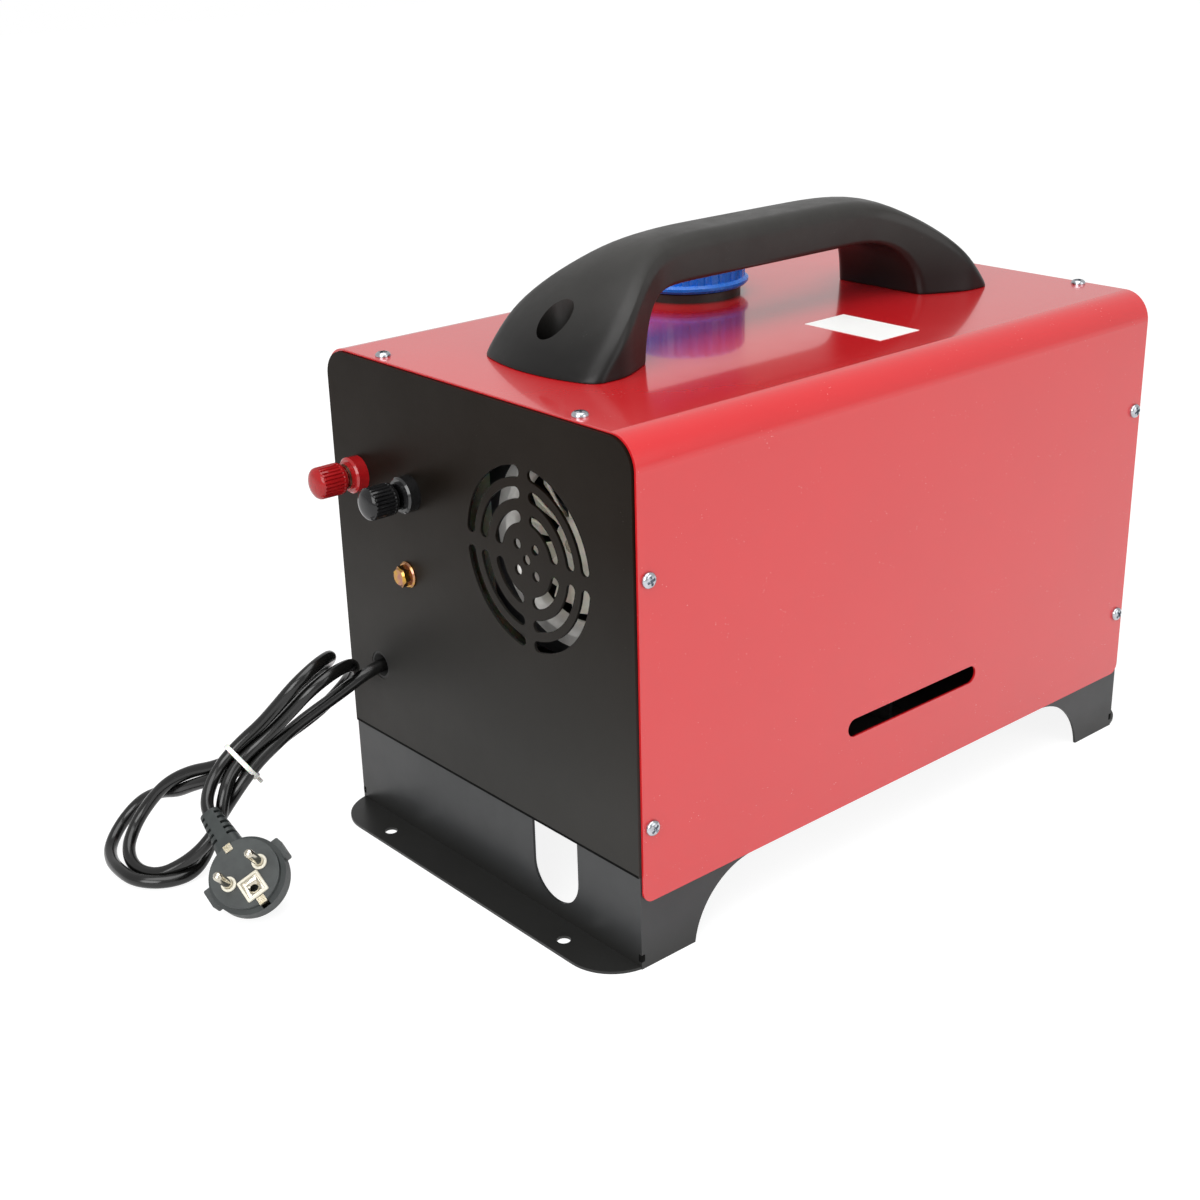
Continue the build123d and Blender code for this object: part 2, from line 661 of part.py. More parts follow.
# Bright pressed ring that guides the air into the fan.
with BuildPart() as inlet_ring:
    with BuildSketch(core_half_plan):
        with BuildLine():
            Polyline((shell_start, inlet_mouth - 2), (shell_start, inlet_mouth + 5),
                     (shell_start - 1.2, inlet_mouth + 5), (shell_start - 1.2, inlet_mouth - 1))
            throat = ThreePointArc((shell_start - 1.2, inlet_mouth - 1), (shell_start + 1.2, impeller_radius + 3.4),
                                   (shell_start + 7, impeller_radius + 1.4))
            Polyline(throat @ 1, (shell_start + 7, impeller_radius + 2.6), (shell_start, inlet_mouth - 2))
        make_face()
    revolve(axis=core_line)
inlet_ring.part.label = "inlet_ring"
export_step(inlet_ring.part, "parts/inlet_ring.step")

# Fan housing: motor pocket, wall and the chamber of the combustion-air fan.
with BuildPart() as blower_housing:
    with BuildSketch(core_half_plan):
        with BuildLine():
            Polyline((motor_start, motor_radius + 0.2), (motor_start, housing_radius),
                     (housing_end, housing_radius), (housing_end, combustion_fan_radius + 0.5),
                     (motor_end + wheel_wall, combustion_fan_radius + 0.5), (motor_end + wheel_wall, shaft_radius + 0.4),
                     (motor_end, shaft_radius + 0.4), (motor_end, motor_radius + 0.2), close=True)
        make_face()
    revolve(axis=core_line)
    # Four lugs that reach the shell, and a flat pad for the control board.
    lug_length = inner_half_width - wall_clearance - motor_radius - 3
    for side in (-1, 1):
        with Locations((motor_start + 10, core_y + side * (inner_half_width - wall_clearance), core_z)):
            Box(12, lug_length, 10, align=(Align.CENTER, Align.MAX if side > 0 else Align.MIN, Align.CENTER))
        with Locations((motor_start + 10, core_y, core_z + side * (inner_half_height - wall_clearance))):
            Box(12, 10, lug_length, align=(Align.CENTER, Align.CENTER, Align.MAX if side > 0 else Align.MIN))
    with Locations((board_x, core_y, core_z + housing_radius + 1)):
        Box(board_length, board_width, 8, align=(Align.CENTER, Align.CENTER, Align.MAX))
    extrude(disc(housing_end, core_y, core_z, combustion_fan_radius + 0.5), amount=motor_end + wheel_wall - housing_end,
            mode=Mode.SUBTRACT)
blower_housing.part.label = "blower_housing"
export_step(blower_housing.part, "parts/blower_housing.step")

with BuildPart() as control_board:
    with Locations((board_x, core_y, core_z + housing_radius + 1)):
        Box(board_length, board_width, 1.6, align=(Align.CENTER, Align.CENTER, Align.MIN))
        with Locations((-8, -8, 1.6), (8, 9, 1.6)):
            Box(14, 14, 5, align=(Align.CENTER, Align.CENTER, Align.MIN))
        with Locations((10, -8, 1.6)):
            Cylinder(4, 9, align=(Align.CENTER, Align.CENTER, Align.MIN))
control_board.part.label = "control_board"
export_step(control_board.part, "parts/control_board.step")

with BuildPart() as blower_motor:
    extrude(disc(motor_start - 1, core_y, core_z, motor_radius), amount=motor_end - motor_start + 1)
    extrude(disc(motor_start - 1, core_y, core_z, shaft_radius + wall_clearance), amount=60, mode=Mode.SUBTRACT)
    chamfer(blower_motor.edges().filter_by(GeomType.CIRCLE).group_by(Axis.X)[0].sort_by(SortBy.RADIUS)[-1], 2)
blower_motor.part.label = "blower_motor"
export_step(blower_motor.part, "parts/blower_motor.step")

with BuildPart() as motor_shaft:
    extrude(disc(shell_start + 3, core_y, core_z, shaft_radius), amount=housing_end - 2 - shell_start - 3)
    chamfer(motor_shaft.edges().filter_by(GeomType.CIRCLE), 0.6)
motor_shaft.part.label = "motor_shaft"
export_step(motor_shaft.part, "parts/motor_shaft.step")

# Axial fan of the warm air, seen through the grille: hub with pitched blades.
with BuildPart() as air_impeller:
    extrude(disc(fan_start, core_y, core_z, fan_hub_radius), amount=fan_depth)
    chamfer(air_impeller.edges().filter_by(GeomType.CIRCLE).group_by(Axis.X)[0], 2)
    for blade in range(impeller_blades):
        turn = 360 * blade / impeller_blades
        blade_plane = Plane(origin=(fan_start + fan_depth / 2, core_y, core_z), x_dir=(1, 0, 0),
                            z_dir=(0, math.cos(math.radians(turn)), math.sin(math.radians(turn))))
        with BuildSketch(blade_plane.offset(fan_hub_radius - 2)):
            Rectangle(blade_root, blade_steel, rotation=blade_root_pitch)
        with BuildSketch(blade_plane.offset(impeller_radius)):
            Rectangle(blade_tip, blade_steel, rotation=blade_tip_pitch)
        loft(ruled=True)
    extrude(disc(fan_start, core_y, core_z, impeller_radius), amount=fan_depth, mode=Mode.INTERSECT)
    extrude(disc(fan_start, core_y, core_z, shaft_radius + 0.02), amount=fan_depth, mode=Mode.SUBTRACT)
air_impeller.part.label = "air_impeller"
export_step(air_impeller.part, "parts/air_impeller.step")

with BuildPart() as combustion_impeller:
    wheel_start = motor_end + wheel_wall + 1
    extrude(disc(wheel_start, core_y, core_z, combustion_fan_radius), amount=2.5)
    with BuildSketch(Plane.YZ.offset(wheel_start + 2.5)):
        with Locations((core_y, core_z)):
            with PolarLocations(combustion_fan_radius / 2 + 5, 12):
                Rectangle(combustion_fan_radius - 14, 1.6)
            Circle(8)
    extrude(amount=9)
    extrude(disc(wheel_start, core_y, core_z, shaft_radius + 0.02), amount=20, mode=Mode.SUBTRACT)
combustion_impeller.part.label = "combustion_impeller"
export_step(combustion_impeller.part, "parts/combustion_impeller.step")

# Cast heat exchanger: blind tube with long fins, four of them reaching the shell.
with BuildPart() as heat_exchanger:
    extrude(disc(housing_end, core_y, core_z, exchanger_radius), amount=exchanger_end - housing_end)
    with BuildSketch(Plane.YZ.offset(fin_start)):
        with Locations((core_y, core_z)):
            with PolarLocations(0, fin_count):
                with Locations((fin_radius / 2, 0)):
                    Rectangle(fin_radius, fin_thickness)
            Rectangle(2 * (inner_half_width - wall_clearance), fin_thickness)
            Rectangle(fin_thickness, 2 * (inner_half_height - wall_clearance))
    extrude(amount=exchanger_end - fin_start)
    for x in (exhaust_x, intake_x):
        with Locations((x, core_y, boss_low)):
            Cylinder(core_pipe_boss, core_z - boss_low, align=(Align.CENTER, Align.CENTER, Align.MIN))
    extrude(disc(housing_end, core_y, core_z, chamber_radius + 0.5), amount=exchanger_end - housing_end - 4,
            mode=Mode.SUBTRACT)
    for x in (exhaust_x, intake_x):
        with Locations((x, core_y, boss_low)):
            Cylinder(pipe_radius - pipe_wall, 14, mode=Mode.SUBTRACT)
            Cylinder(pipe_radius + wall_clearance, 14, align=(Align.CENTER, Align.CENTER, Align.MAX),
                     mode=Mode.SUBTRACT)
    with Locations((glow_plug_x, core_y, core_z)):
        Cylinder(glow_plug_radius + 0.1, 60, align=(Align.CENTER, Align.CENTER, Align.MIN), mode=Mode.SUBTRACT)
heat_exchanger.part.label = "heat_exchanger"
export_step(heat_exchanger.part, "parts/heat_exchanger.step")

with BuildPart() as combustion_chamber:
    extrude(disc(housing_end, core_y, core_z, chamber_radius), amount=chamber_length)
    extrude(disc(housing_end + 2, core_y, core_z, chamber_radius - 2), amount=chamber_length, mode=Mode.SUBTRACT)
    with BuildSketch(Plane.YZ.offset(housing_end)):
        with Locations((core_y, core_z)):
            with PolarLocations(16, 8):
                Circle(2.5)
    extrude(amount=2, mode=Mode.SUBTRACT)
combustion_chamber.part.label = "combustion_chamber"
export_step(combustion_chamber.part, "parts/combustion_chamber.step")

with BuildPart() as glow_plug:
    with Locations((glow_plug_x, core_y, core_z + chamber_radius + 0.8)):
        Cylinder(glow_plug_radius, 18, align=(Align.CENTER, Align.CENTER, Align.MIN))
    with BuildSketch(Plane.XY.offset(core_z + exchanger_radius + 0.2)):
        with Locations((glow_plug_x, core_y)):
            RegularPolygon(5, 6, major_radius=False)
    extrude(amount=5)
glow_plug.part.label = "glow_plug"
export_step(glow_plug.part, "parts/glow_plug.step")

for pipe_name, x in (("exhaust_pipe", exhaust_x), ("intake_pipe", intake_x)):
    with BuildPart() as pipe:
        with BuildSketch(Plane.XY.offset(pipe_low)):
            with Locations((x, core_y)):
                Circle(pipe_radius)
                Circle(pipe_radius - pipe_wall, mode=Mode.SUBTRACT)
        extrude(amount=boss_low - pipe_low)
        # Bead that a hose is pushed up to.
        with BuildSketch(Plane.XY.offset(pipe_low + hose_seat)):
            with Locations((x, core_y)):
                Circle(pipe_radius + 1)
                Circle(pipe_radius - pipe_wall, mode=Mode.SUBTRACT)
        extrude(amount=2)
    pipe.part.label = pipe_name
    export_step(pipe.part, f"parts/{pipe_name}.step")

# Bent bracket that carries the core over the tray.
with BuildPart() as core_bracket:
    with BuildSketch(Plane.XZ.offset(-core_y - bracket_width / 2)):
        with Locations((bracket_x, (shell_low + tray_top) / 2)):
            Rectangle(bracket_length, shell_low - tray_top)
        with Locations((bracket_x, (shell_low - bracket_steel + tray_top) / 2)):
            Rectangle(bracket_length - 2 * bracket_steel, shell_low - bracket_steel - tray_top, mode=Mode.SUBTRACT)
        for side in (-1, 1):
            with Locations((bracket_x + side * (bracket_length / 2 + bracket_foot / 2), tray_top + bracket_steel / 2)):
                Rectangle(bracket_foot, bracket_steel)
    extrude(amount=bracket_width)
    with Locations((exhaust_x, core_y, shell_low), (intake_x, core_y, shell_low)):
        Cylinder(pipe_radius + 1, 4 * bracket_steel, mode=Mode.SUBTRACT)
core_bracket.part.label = "core_bracket"
export_step(core_bracket.part, "parts/core_bracket.step")

# ---------------------------------------------------------------- fuel pump, filter and lines
pump_z = tray_top + pump_height
pump_front_y = pump_back_y - pump_length
filter_front_y = filter_back_y - filter_length
pump_mid_y = (pump_back_y + pump_front_y) / 2

with BuildPart() as fuel_pump:
    with Locations((outlet_nipple_x, pump_mid_y, pump_z)):
        Cylinder(pump_radius, pump_length, rotation=(90, 0, 0))
        Cylinder(hose_radius, pump_length + 2 * nipple_length, rotation=(90, 0, 0))
    with Locations((outlet_nipple_x, pump_back_y - 12, pump_z + pump_radius)):
        Box(12, 12, 10)
    chamfer(fuel_pump.edges().filter_by(GeomType.CIRCLE).filter_by(lambda edge: edge.radius == pump_radius), 2)
fuel_pump.part.label = "fuel_pump"
export_step(fuel_pump.part, "parts/fuel_pump.step")

with BuildPart() as pump_holder:
    with BuildSketch(Plane.XZ.offset(-pump_mid_y - holder_width / 2)):
        with Locations((outlet_nipple_x, pump_z)):
            Circle(pump_radius + 4)
        with Locations((outlet_nipple_x, (pump_z + tray_top) / 2)):
            Rectangle(2 * pump_radius, pump_height)
        with Locations((outlet_nipple_x, tray_top + 2)):
            Rectangle(4 * pump_radius, 4)
        with Locations((outlet_nipple_x, pump_z)):
            Circle(pump_radius + 0.1, mode=Mode.SUBTRACT)
    extrude(amount=holder_width)
pump_holder.part.label = "pump_holder"
export_step(pump_holder.part, "parts/pump_holder.step")

with BuildPart() as fuel_filter:
    with Locations((outlet_nipple_x, (filter_back_y + filter_front_y) / 2, pump_z)):
        Cylinder(filter_radius, filter_length, rotation=(90, 0, 0))
        Cylinder(hose_radius, filter_length + nipple_length, rotation=(90, 0, 0))
    chamfer(fuel_filter.edges().filter_by(GeomType.CIRCLE).filter_by(lambda edge: edge.radius == filter_radius), 2)
fuel_filter.part.label = "fuel_filter"
export_step(fuel_filter.part, "parts/fuel_filter.step")


def corner_radii(points):
    """Largest easy bend at each inner point: 0.45 of its shorter run over the tangent of half the turn."""
    radii = []
    for before, here, after in zip(points, points[1:], points[2:]):
        turn = math.radians((here - before).get_angle(after - here))
        shorter = min((here - before).length, (after - here).length)
        radii.append(0.45 * shorter / math.tan(turn / 2))
    return radii


def tube(points, radius, name):
    """Round hose or cable along straight runs joined by tangent arcs."""
    points = [Vector(point) for point in points]
    radii = corner_radii(points)
    with BuildPart() as hose:
        with BuildLine() as route:
            FilletPolyline(*points, radius=radii)
        start = Plane(origin=points[0], z_dir=points[1] - points[0])
        with BuildSketch(start):
            Circle(radius)
        sweep(path=route.wires()[0])
    length = route.wires()[0].length
    print(name, "bend radii", [round(value, 1) for value in radii], "length", round(length, 1),
          "volume ratio", round(hose.part.volume / (math.pi * radius**2 * length), 4))
    return hose.part


filter_gap = nipple_length / 2
supply_hose_points = [(outlet_nipple_x, tank_y, tank_low - outlet_nipple_length),
                      (outlet_nipple_x, tank_y, pump_z),
                      (outlet_nipple_x, filter_back_y + filter_gap, pump_z)]
burner_hose_points = [(outlet_nipple_x, pump_front_y - nipple_length, pump_z),
                      (outlet_nipple_x, pump_front_y - 25, pump_z),
                      (outlet_nipple_x - 25, pump_front_y - 30, pump_z + 9),
                      (fuel_inlet_x + 15, pump_front_y - 18, pump_z + 20),
                      (fuel_inlet_x, fuel_inlet_y, shell_low - fuel_inlet_length - 14),
                      (fuel_inlet_x, fuel_inlet_y, shell_low - fuel_inlet_length)]

with BuildPart() as supply_hose:
    add(tube(supply_hose_points, hose_radius, "tank hose"))
    with Locations((outlet_nipple_x, (filter_front_y - filter_gap + pump_back_y + nipple_length) / 2, pump_z)):
        Cylinder(hose_radius, filter_front_y - filter_gap - pump_back_y - nipple_length, rotation=(90, 0, 0))
supply_hose.part.label = "supply_hose"
export_step(supply_hose.part, "parts/supply_hose.step")

with BuildPart() as burner_hose:
    add(tube(burner_hose_points, hose_radius, "burner hose"))
burner_hose.part.label = "burner_hose"
export_step(burner_hose.part, "parts/burner_hose.step")

# ---------------------------------------------------------------- mains supply unit
with BuildPart() as power_supply:
    with Locations((supply_x, tank_y, tray_top)):
        Box(supply_length, supply_width, supply_height, align=(Align.CENTER, Align.CENTER, Align.MIN))
    with Locations((supply_x - supply_length / 2, tank_y, tray_top + supply_height)):
        Box(20, supply_width - 8, 18, align=(Align.MIN, Align.CENTER, Align.MAX), mode=Mode.SUBTRACT)
    for y_step in range(7):
        with Locations((supply_x - supply_length / 2 + 10, tank_y + (y_step - 3) * 10, tray_top + supply_height - 18)):
            Cylinder(3, 4, align=(Align.CENTER, Align.CENTER, Align.MIN))
power_supply.part.label = "power_supply"
export_step(power_supply.part, "parts/power_supply.step")

# ---------------------------------------------------------------- outlet panel, collar and louvre
with BuildPart() as outlet_end_panel:
    add(panel_shell(outlet_face, -1))
    extrude(disc(outlet_face, core_y, core_z, outlet_radius + wall_clearance), amount=-chassis_steel,
            mode=Mode.SUBTRACT)
    with BuildSketch(Plane.YZ.offset(outlet_face)):
        with Locations((controls_y, controls_z)):
            Rectangle(bezel_width - 8 + 2 * wall_clearance, bezel_height - 8 + 2 * wall_clearance)
    extrude(amount=-chassis_steel, mode=Mode.SUBTRACT)
outlet_end_panel.part.label = "outlet_end_panel"
export_step(outlet_end_panel.part, "parts/outlet_end_panel.step")

collar_flange_radius = outlet_radius + 8
collar_flange = 2.5
with BuildPart() as outlet_collar:
    extrude(disc(shell_end, core_y, core_z, outlet_radius), amount=outlet_face - shell_end + outlet_reach)
    extrude(disc(outlet_face, core_y, core_z, collar_flange_radius), amount=collar_flange)
    extrude(disc(shell_end, core_y, core_z, outlet_radius - outlet_wall),
            amount=outlet_face - shell_end + outlet_reach, mode=Mode.SUBTRACT)
outlet_collar.part.label = "outlet_collar"
export_step(outlet_collar.part, "parts/outlet_collar.step")

louvre_start = outlet_face + collar_flange + wall_clearance
vane_start = outlet_face + outlet_reach + 1
louvre_end = louvre_start + louvre_depth
with BuildPart() as outlet_louvre:
    extrude(disc(louvre_start, core_y, core_z, louvre_radius), amount=louvre_depth)
    chamfer(outlet_louvre.edges().filter_by(GeomType.CIRCLE).group_by(Axis.X)[-1], 1.5)
    extrude(disc(louvre_start, core_y, core_z, outlet_radius + wall_clearance), amount=vane_start - louvre_start,
            mode=Mode.SUBTRACT)
    extrude(disc(vane_start, core_y, core_z, outlet_radius - outlet_wall), amount=louvre_depth, mode=Mode.SUBTRACT)
    vane_step = 2 * (outlet_radius - outlet_wall) / vane_count
    with BuildPart(mode=Mode.PRIVATE) as vanes:
        for vane in range(vane_count):
            height = core_z + (vane - (vane_count - 1) / 2) * vane_step
            with Locations(Location(((vane_start + louvre_end) / 2, core_y, height), (0, vane_pitch, 0))):
                Box(vane_chord, 2 * outlet_radius, vane_thickness)
        with Locations(((vane_start + louvre_end) / 2, core_y, core_z)):
            Box(vane_thickness, vane_thickness, 2 * outlet_radius)
        extrude(disc(vane_start, core_y, core_z, louvre_radius - 3), amount=louvre_end - 1 - vane_start,
                mode=Mode.INTERSECT)
    add(vanes.part)
outlet_louvre.part.label = "outlet_louvre"
export_step(outlet_louvre.part, "parts/outlet_louvre.step")

# ---------------------------------------------------------------- control panel
bezel_front = outlet_face + bezel_proud
body_width = bezel_width - 8
body_height = bezel_height - 8
window_z = controls_z + window_rise
button_z = controls_z - button_drop
button_names = ("power_button", "down_button", "up_button", "set_button")
button_spots_y = [controls_y + (place - 1.5) * button_spacing for place in range(4)]

with BuildPart() as control_bezel:
    with BuildSketch(Plane.YZ.offset(outlet_face)):
        with Locations((controls_y, controls_z)):
            RectangleRounded(bezel_width, bezel_height, 6)
    extrude(amount=bezel_proud)
    chamfer(control_bezel.edges().group_by(Axis.X)[-1], 1.5)
    with BuildSketch(Plane.YZ.offset(outlet_face - bezel_depth)):
        with Locations((controls_y, controls_z)):
            Rectangle(body_width, body_height)
    extrude(amount=bezel_depth)
    with BuildSketch(Plane.YZ.offset(outlet_face - bezel_depth)):
        with Locations((controls_y, controls_z)):
            Rectangle(body_width - 2 * bezel_wall, body_height - 2 * bezel_wall)
    extrude(amount=bezel_depth + bezel_proud - bezel_wall, mode=Mode.SUBTRACT)
    with BuildSketch(Plane.YZ.offset(bezel_front)):
        with Locations((controls_y, window_z)):
            Rectangle(window_width + 2 * sheet_gap, window_height + 2 * sheet_gap)
    extrude(amount=-1.5, mode=Mode.SUBTRACT)
    for y in button_spots_y:
        extrude(disc(bezel_front, y, button_z, button_radius + wall_clearance), amount=-bezel_proud, mode=Mode.SUBTRACT)
control_bezel.part.label = "control_bezel"
export_step(control_bezel.part, "parts/control_bezel.step")

with BuildPart() as display_window:
    with BuildSketch(Plane.YZ.offset(bezel_front)):
        with Locations((controls_y, window_z)):
            Rectangle(window_width, window_height)
    extrude(amount=-1.5)
display_window.part.label = "display_window"
export_step(display_window.part, "parts/display_window.step")

# Buttons: a bevelled key in each hole, kept in by a rim behind the front wall.
button_back = bezel_front - bezel_wall - wall_clearance
for button_name, y in zip(button_names, button_spots_y):
    with BuildPart() as button:
        extrude(disc(button_back - 1.5, y, button_z, button_radius), amount=bezel_front + button_proud - button_back + 1.5)
        chamfer(button.edges().filter_by(GeomType.CIRCLE).group_by(Axis.X)[-1], 0.9)
        extrude(disc(button_back - 1.5, y, button_z, button_radius + 1.5), amount=1.5)
    button.part.label = button_name
    export_step(button.part, f"parts/{button_name}.step")

# ---------------------------------------------------------------- binding posts


def post_plan(y):
    """Half plan of a binding post: local x runs out from the panel's face, local y is the radius."""
    return Plane(origin=(inlet_face, y, post_z), x_dir=(-1, 0, 0), z_dir=(0, 1, 0))


def post_line(y):
    """Axis of a binding post, pointing out of the panel."""
    return Axis((inlet_face, y, post_z), (-1, 0, 0))


red_y, black_y = post_spots_y
for colour, y in (("red", red_y), ("black", black_y)):
    with BuildPart() as post_base:
        with BuildSketch(post_plan(y)):
            with BuildLine():
                Polyline((-chassis_steel - 3, post_thread + 0.1), (-chassis_steel - 3, post_spigot), (0, post_spigot),
                         (0, post_base_radius), (post_base_length - 1, post_base_radius),
                         (post_base_length, post_base_radius - 1), (post_base_length, post_step_radius),
                         (post_step_end, post_step_radius), (post_step_end, post_thread + 0.1), close=True)
            make_face()
        revolve(axis=post_line(y))
    post_base.part.label = f"{colour}_post_base"
    export_step(post_base.part, f"parts/{colour}_post_base.step")

    with BuildPart() as clamp_washer:
        with BuildSketch(post_plan(y)):
            with BuildLine():
                Polyline((washer_start, post_thread + wall_clearance), (washer_start, washer_radius),
                         (washer_start + washer_thickness, washer_radius),
                         (washer_start + washer_thickness, post_thread + wall_clearance), close=True)
            make_face()
        revolve(axis=post_line(y))
    clamp_washer.part.label = f"{colour}_clamp_washer"
    export_step(clamp_washer.part, f"parts/{colour}_clamp_washer.step")

    # Fluted knob with a plain shoulder and a blunt end.
    with BuildPart() as post_knob:
        with BuildSketch(post_plan(y)):
            with BuildLine():
                Polyline((knob_start, 0), (knob_start, knob_neck_radius), (knob_shoulder, knob_neck_radius),
                         (knob_shoulder, knob_radius), (knob_grip, knob_radius), (knob_tip - 1.5, knob_tip_radius),
                         (knob_tip - 0.4, knob_tip_radius * 0.7), (knob_tip, 0), close=True)
            make_face()
        revolve(axis=post_line(y))
        knob_taper = math.atan2(knob_radius - knob_tip_radius, knob_tip - 1.5 - knob_grip)
        for flute in range(knob_flutes):
            turn = math.radians(360 * (flute + 0.5) / knob_flutes)
            across = Vector(0, math.cos(turn), math.sin(turn))
            start = Vector(inlet_face - knob_grip, y, post_z) + across * (knob_radius + 0.2)
            slant = Vector(-math.cos(knob_taper), 0, 0) - across * math.sin(knob_taper)
            outward = across * math.cos(knob_taper) - Vector(math.sin(knob_taper), 0, 0)
            with BuildSketch(Plane(origin=start, x_dir=outward, z_dir=slant)):
                RegularPolygon(0.9, 4)
        extrude(amount=knob_tip - knob_grip, mode=Mode.SUBTRACT)
        extrude(disc(inlet_face - knob_start, y, post_z, post_thread + wall_clearance), amount=-knob_bore,
                mode=Mode.SUBTRACT)
    post_knob.part.label = f"{colour}_post_knob"
    export_step(post_knob.part, f"parts/{colour}_post_knob.step")

with BuildPart() as post_studs:
    for y in post_spots_y:
        extrude(disc(inlet_face + stud_inside, y, post_z, post_thread), amount=-stud_inside - stud_outside)
    chamfer(post_studs.edges().filter_by(GeomType.CIRCLE), 0.5)
post_studs.part.label = "post_studs"
export_step(post_studs.part, "parts/post_studs.step")

with BuildPart() as post_nuts:
    for y in post_spots_y:
        for start in (inlet_inside + 3.1, inlet_inside + 8.2):
            with BuildSketch(Plane.YZ.offset(start)):
                with Locations((y, post_z)):
                    RegularPolygon(4, 6, major_radius=False)
                    Circle(post_thread + 0.05, mode=Mode.SUBTRACT)
            extrude(amount=4)
post_nuts.part.label = "post_nuts"
export_step(post_nuts.part, "parts/post_nuts.step")

# ---------------------------------------------------------------- earth bolt
with BuildPart() as earth_bolt:
    with BuildSketch(Plane.YZ.offset(inlet_face)):
        with Locations((earth_bolt_y, earth_bolt_z)):
            Circle(bolt_flange_radius)
    extrude(amount=-bolt_flange)
    chamfer(earth_bolt.edges().filter_by(GeomType.CIRCLE).group_by(Axis.X)[0], 0.8)
    with BuildSketch(Plane.YZ.offset(inlet_face - bolt_flange)):
        with Locations((earth_bolt_y, earth_bolt_z)):
            RegularPolygon(nut_across_flats / 2, 6, major_radius=False, rotation=12)
    extrude(amount=-(bolt_head - bolt_flange))
    with BuildSketch(Plane.YZ.offset(inlet_face - bolt_head + 1)):
        with Locations((earth_bolt_y, earth_bolt_z)):
            Circle(nut_across_flats)
            Circle(nut_across_flats / 2 + 0.2, mode=Mode.SUBTRACT)
    extrude(amount=-1, taper=-45, mode=Mode.SUBTRACT)
    extrude(disc(inlet_face, earth_bolt_y, earth_bolt_z, bolt_thread), amount=bolt_length)
earth_bolt.part.label = "earth_bolt"
export_step(earth_bolt.part, "parts/earth_bolt.step")

# ---------------------------------------------------------------- mains lead: grommet, lead, hank and tie
plug_plane = Plane(origin=plug_face_centre, x_dir=plug_cable_way, z_dir=plug_pin_way)
relief_start = plug_face_centre + plug_plane.x_dir * (plug_body_radius - 5) - plug_plane.z_dir * 10
relief_way = plug_plane.x_dir.rotate(Axis((0, 0, 0), plug_plane.y_dir), relief_slant)
relief_plane = Plane(origin=relief_start, x_dir=plug_plane.y_dir, z_dir=relief_way)
relief_end = relief_start + relief_way * relief_length
lead_line = Axis((inlet_face, lead_y, lead_z), (1, 0, 0))
with BuildPart() as cable_grommet:
    with BuildSketch(Plane(origin=(inlet_face, lead_y, lead_z), x_dir=(1, 0, 0), z_dir=(0, -1, 0))):
        with BuildLine():
            Polyline((0.2, lead_hole - 1.4), (0.2, lead_hole - 0.1), (chassis_steel, lead_hole - 0.1),
                     (chassis_steel, grommet_radius), (chassis_steel + 2, grommet_radius),
                     (chassis_steel + 2, lead_radius + 3.5), (grommet_tail, lead_radius + 1.8),
                     (grommet_tail, lead_radius + grommet_fit), (5, lead_radius + grommet_fit), close=True)
        make_face()
    revolve(axis=lead_line)
cable_grommet.part.label = "cable_grommet"
export_step(cable_grommet.part, "parts/cable_grommet.step")

with BuildPart() as mains_lead:
    add(tube(lead_points, lead_radius, "mains lead"))
mains_lead.part.label = "mains_lead"
export_step(mains_lead.part, "parts/mains_lead.step")

with BuildPart() as plug_lead:
    last_points = [relief_end + relief_way * 6.5, relief_end - relief_way * relief_grip]
    add(tube(plug_lead_points + last_points, lead_radius, "plug lead"))
plug_lead.part.label = "plug_lead"
export_step(plug_lead.part, "parts/plug_lead.step")

# The folded lead: a flat bundle of loops above the tie and one below it.
waist_plane = Plane(origin=tie_centre, x_dir=fan_way, z_dir=bundle_way)
lower_way = (lower_loops_end - tie_centre).normalized()
lower_normal = lower_way.cross(Vector(0, 1, 0)).normalized()
with BuildPart() as lead_hank:
    with BuildSketch(waist_plane.offset(-waist_long / 2)):
        RectangleRounded(waist_wide, waist_thick, waist_thick / 2 - 0.1)
    extrude(amount=waist_long)
    with BuildSketch(Plane(origin=tie_centre + fan_way * (upper_loops_shift - upper_loops_thick / 2),
                           x_dir=bundle_way, z_dir=fan_way)):
        Circle(waist_thick / 2)
        with Locations((upper_loops_reach, 0)):
            Circle(upper_loops_radius)
        make_hull()
    extrude(amount=upper_loops_thick)
    with BuildSketch(Plane(origin=tie_centre - lower_normal * (lower_loops_thick / 2), x_dir=lower_way,
                           z_dir=lower_normal)):
        Circle(waist_thick / 2)
        with Locations((lower_loops_reach, 0)):
            Circle(lower_loops_radius)
        make_hull()
    extrude(amount=lower_loops_thick)
    # Room for the plug's strain relief beside the lower loops.
    with BuildSketch(relief_plane.offset(relief_length / 2)):
        Circle(9)
    extrude(amount=relief_length / 2 + 1, mode=Mode.SUBTRACT)
    # Groove that the tie's band draws in round the bundle.
    with BuildSketch(waist_plane.offset(-tie_width / 2)):
        Rectangle(4 * waist_wide, 4 * waist_wide)
        RectangleRounded(waist_wide - 1, waist_thick - 1, waist_thick / 2 - 0.6, mode=Mode.SUBTRACT)
    extrude(amount=tie_width, mode=Mode.SUBTRACT)
lead_hank.part.label = "lead_hank"
export_step(lead_hank.part, "parts/lead_hank.step")
print("hank lowest", lead_hank.part.bounding_box().min.Z, "nearest the case", lead_hank.part.bounding_box().max.X)

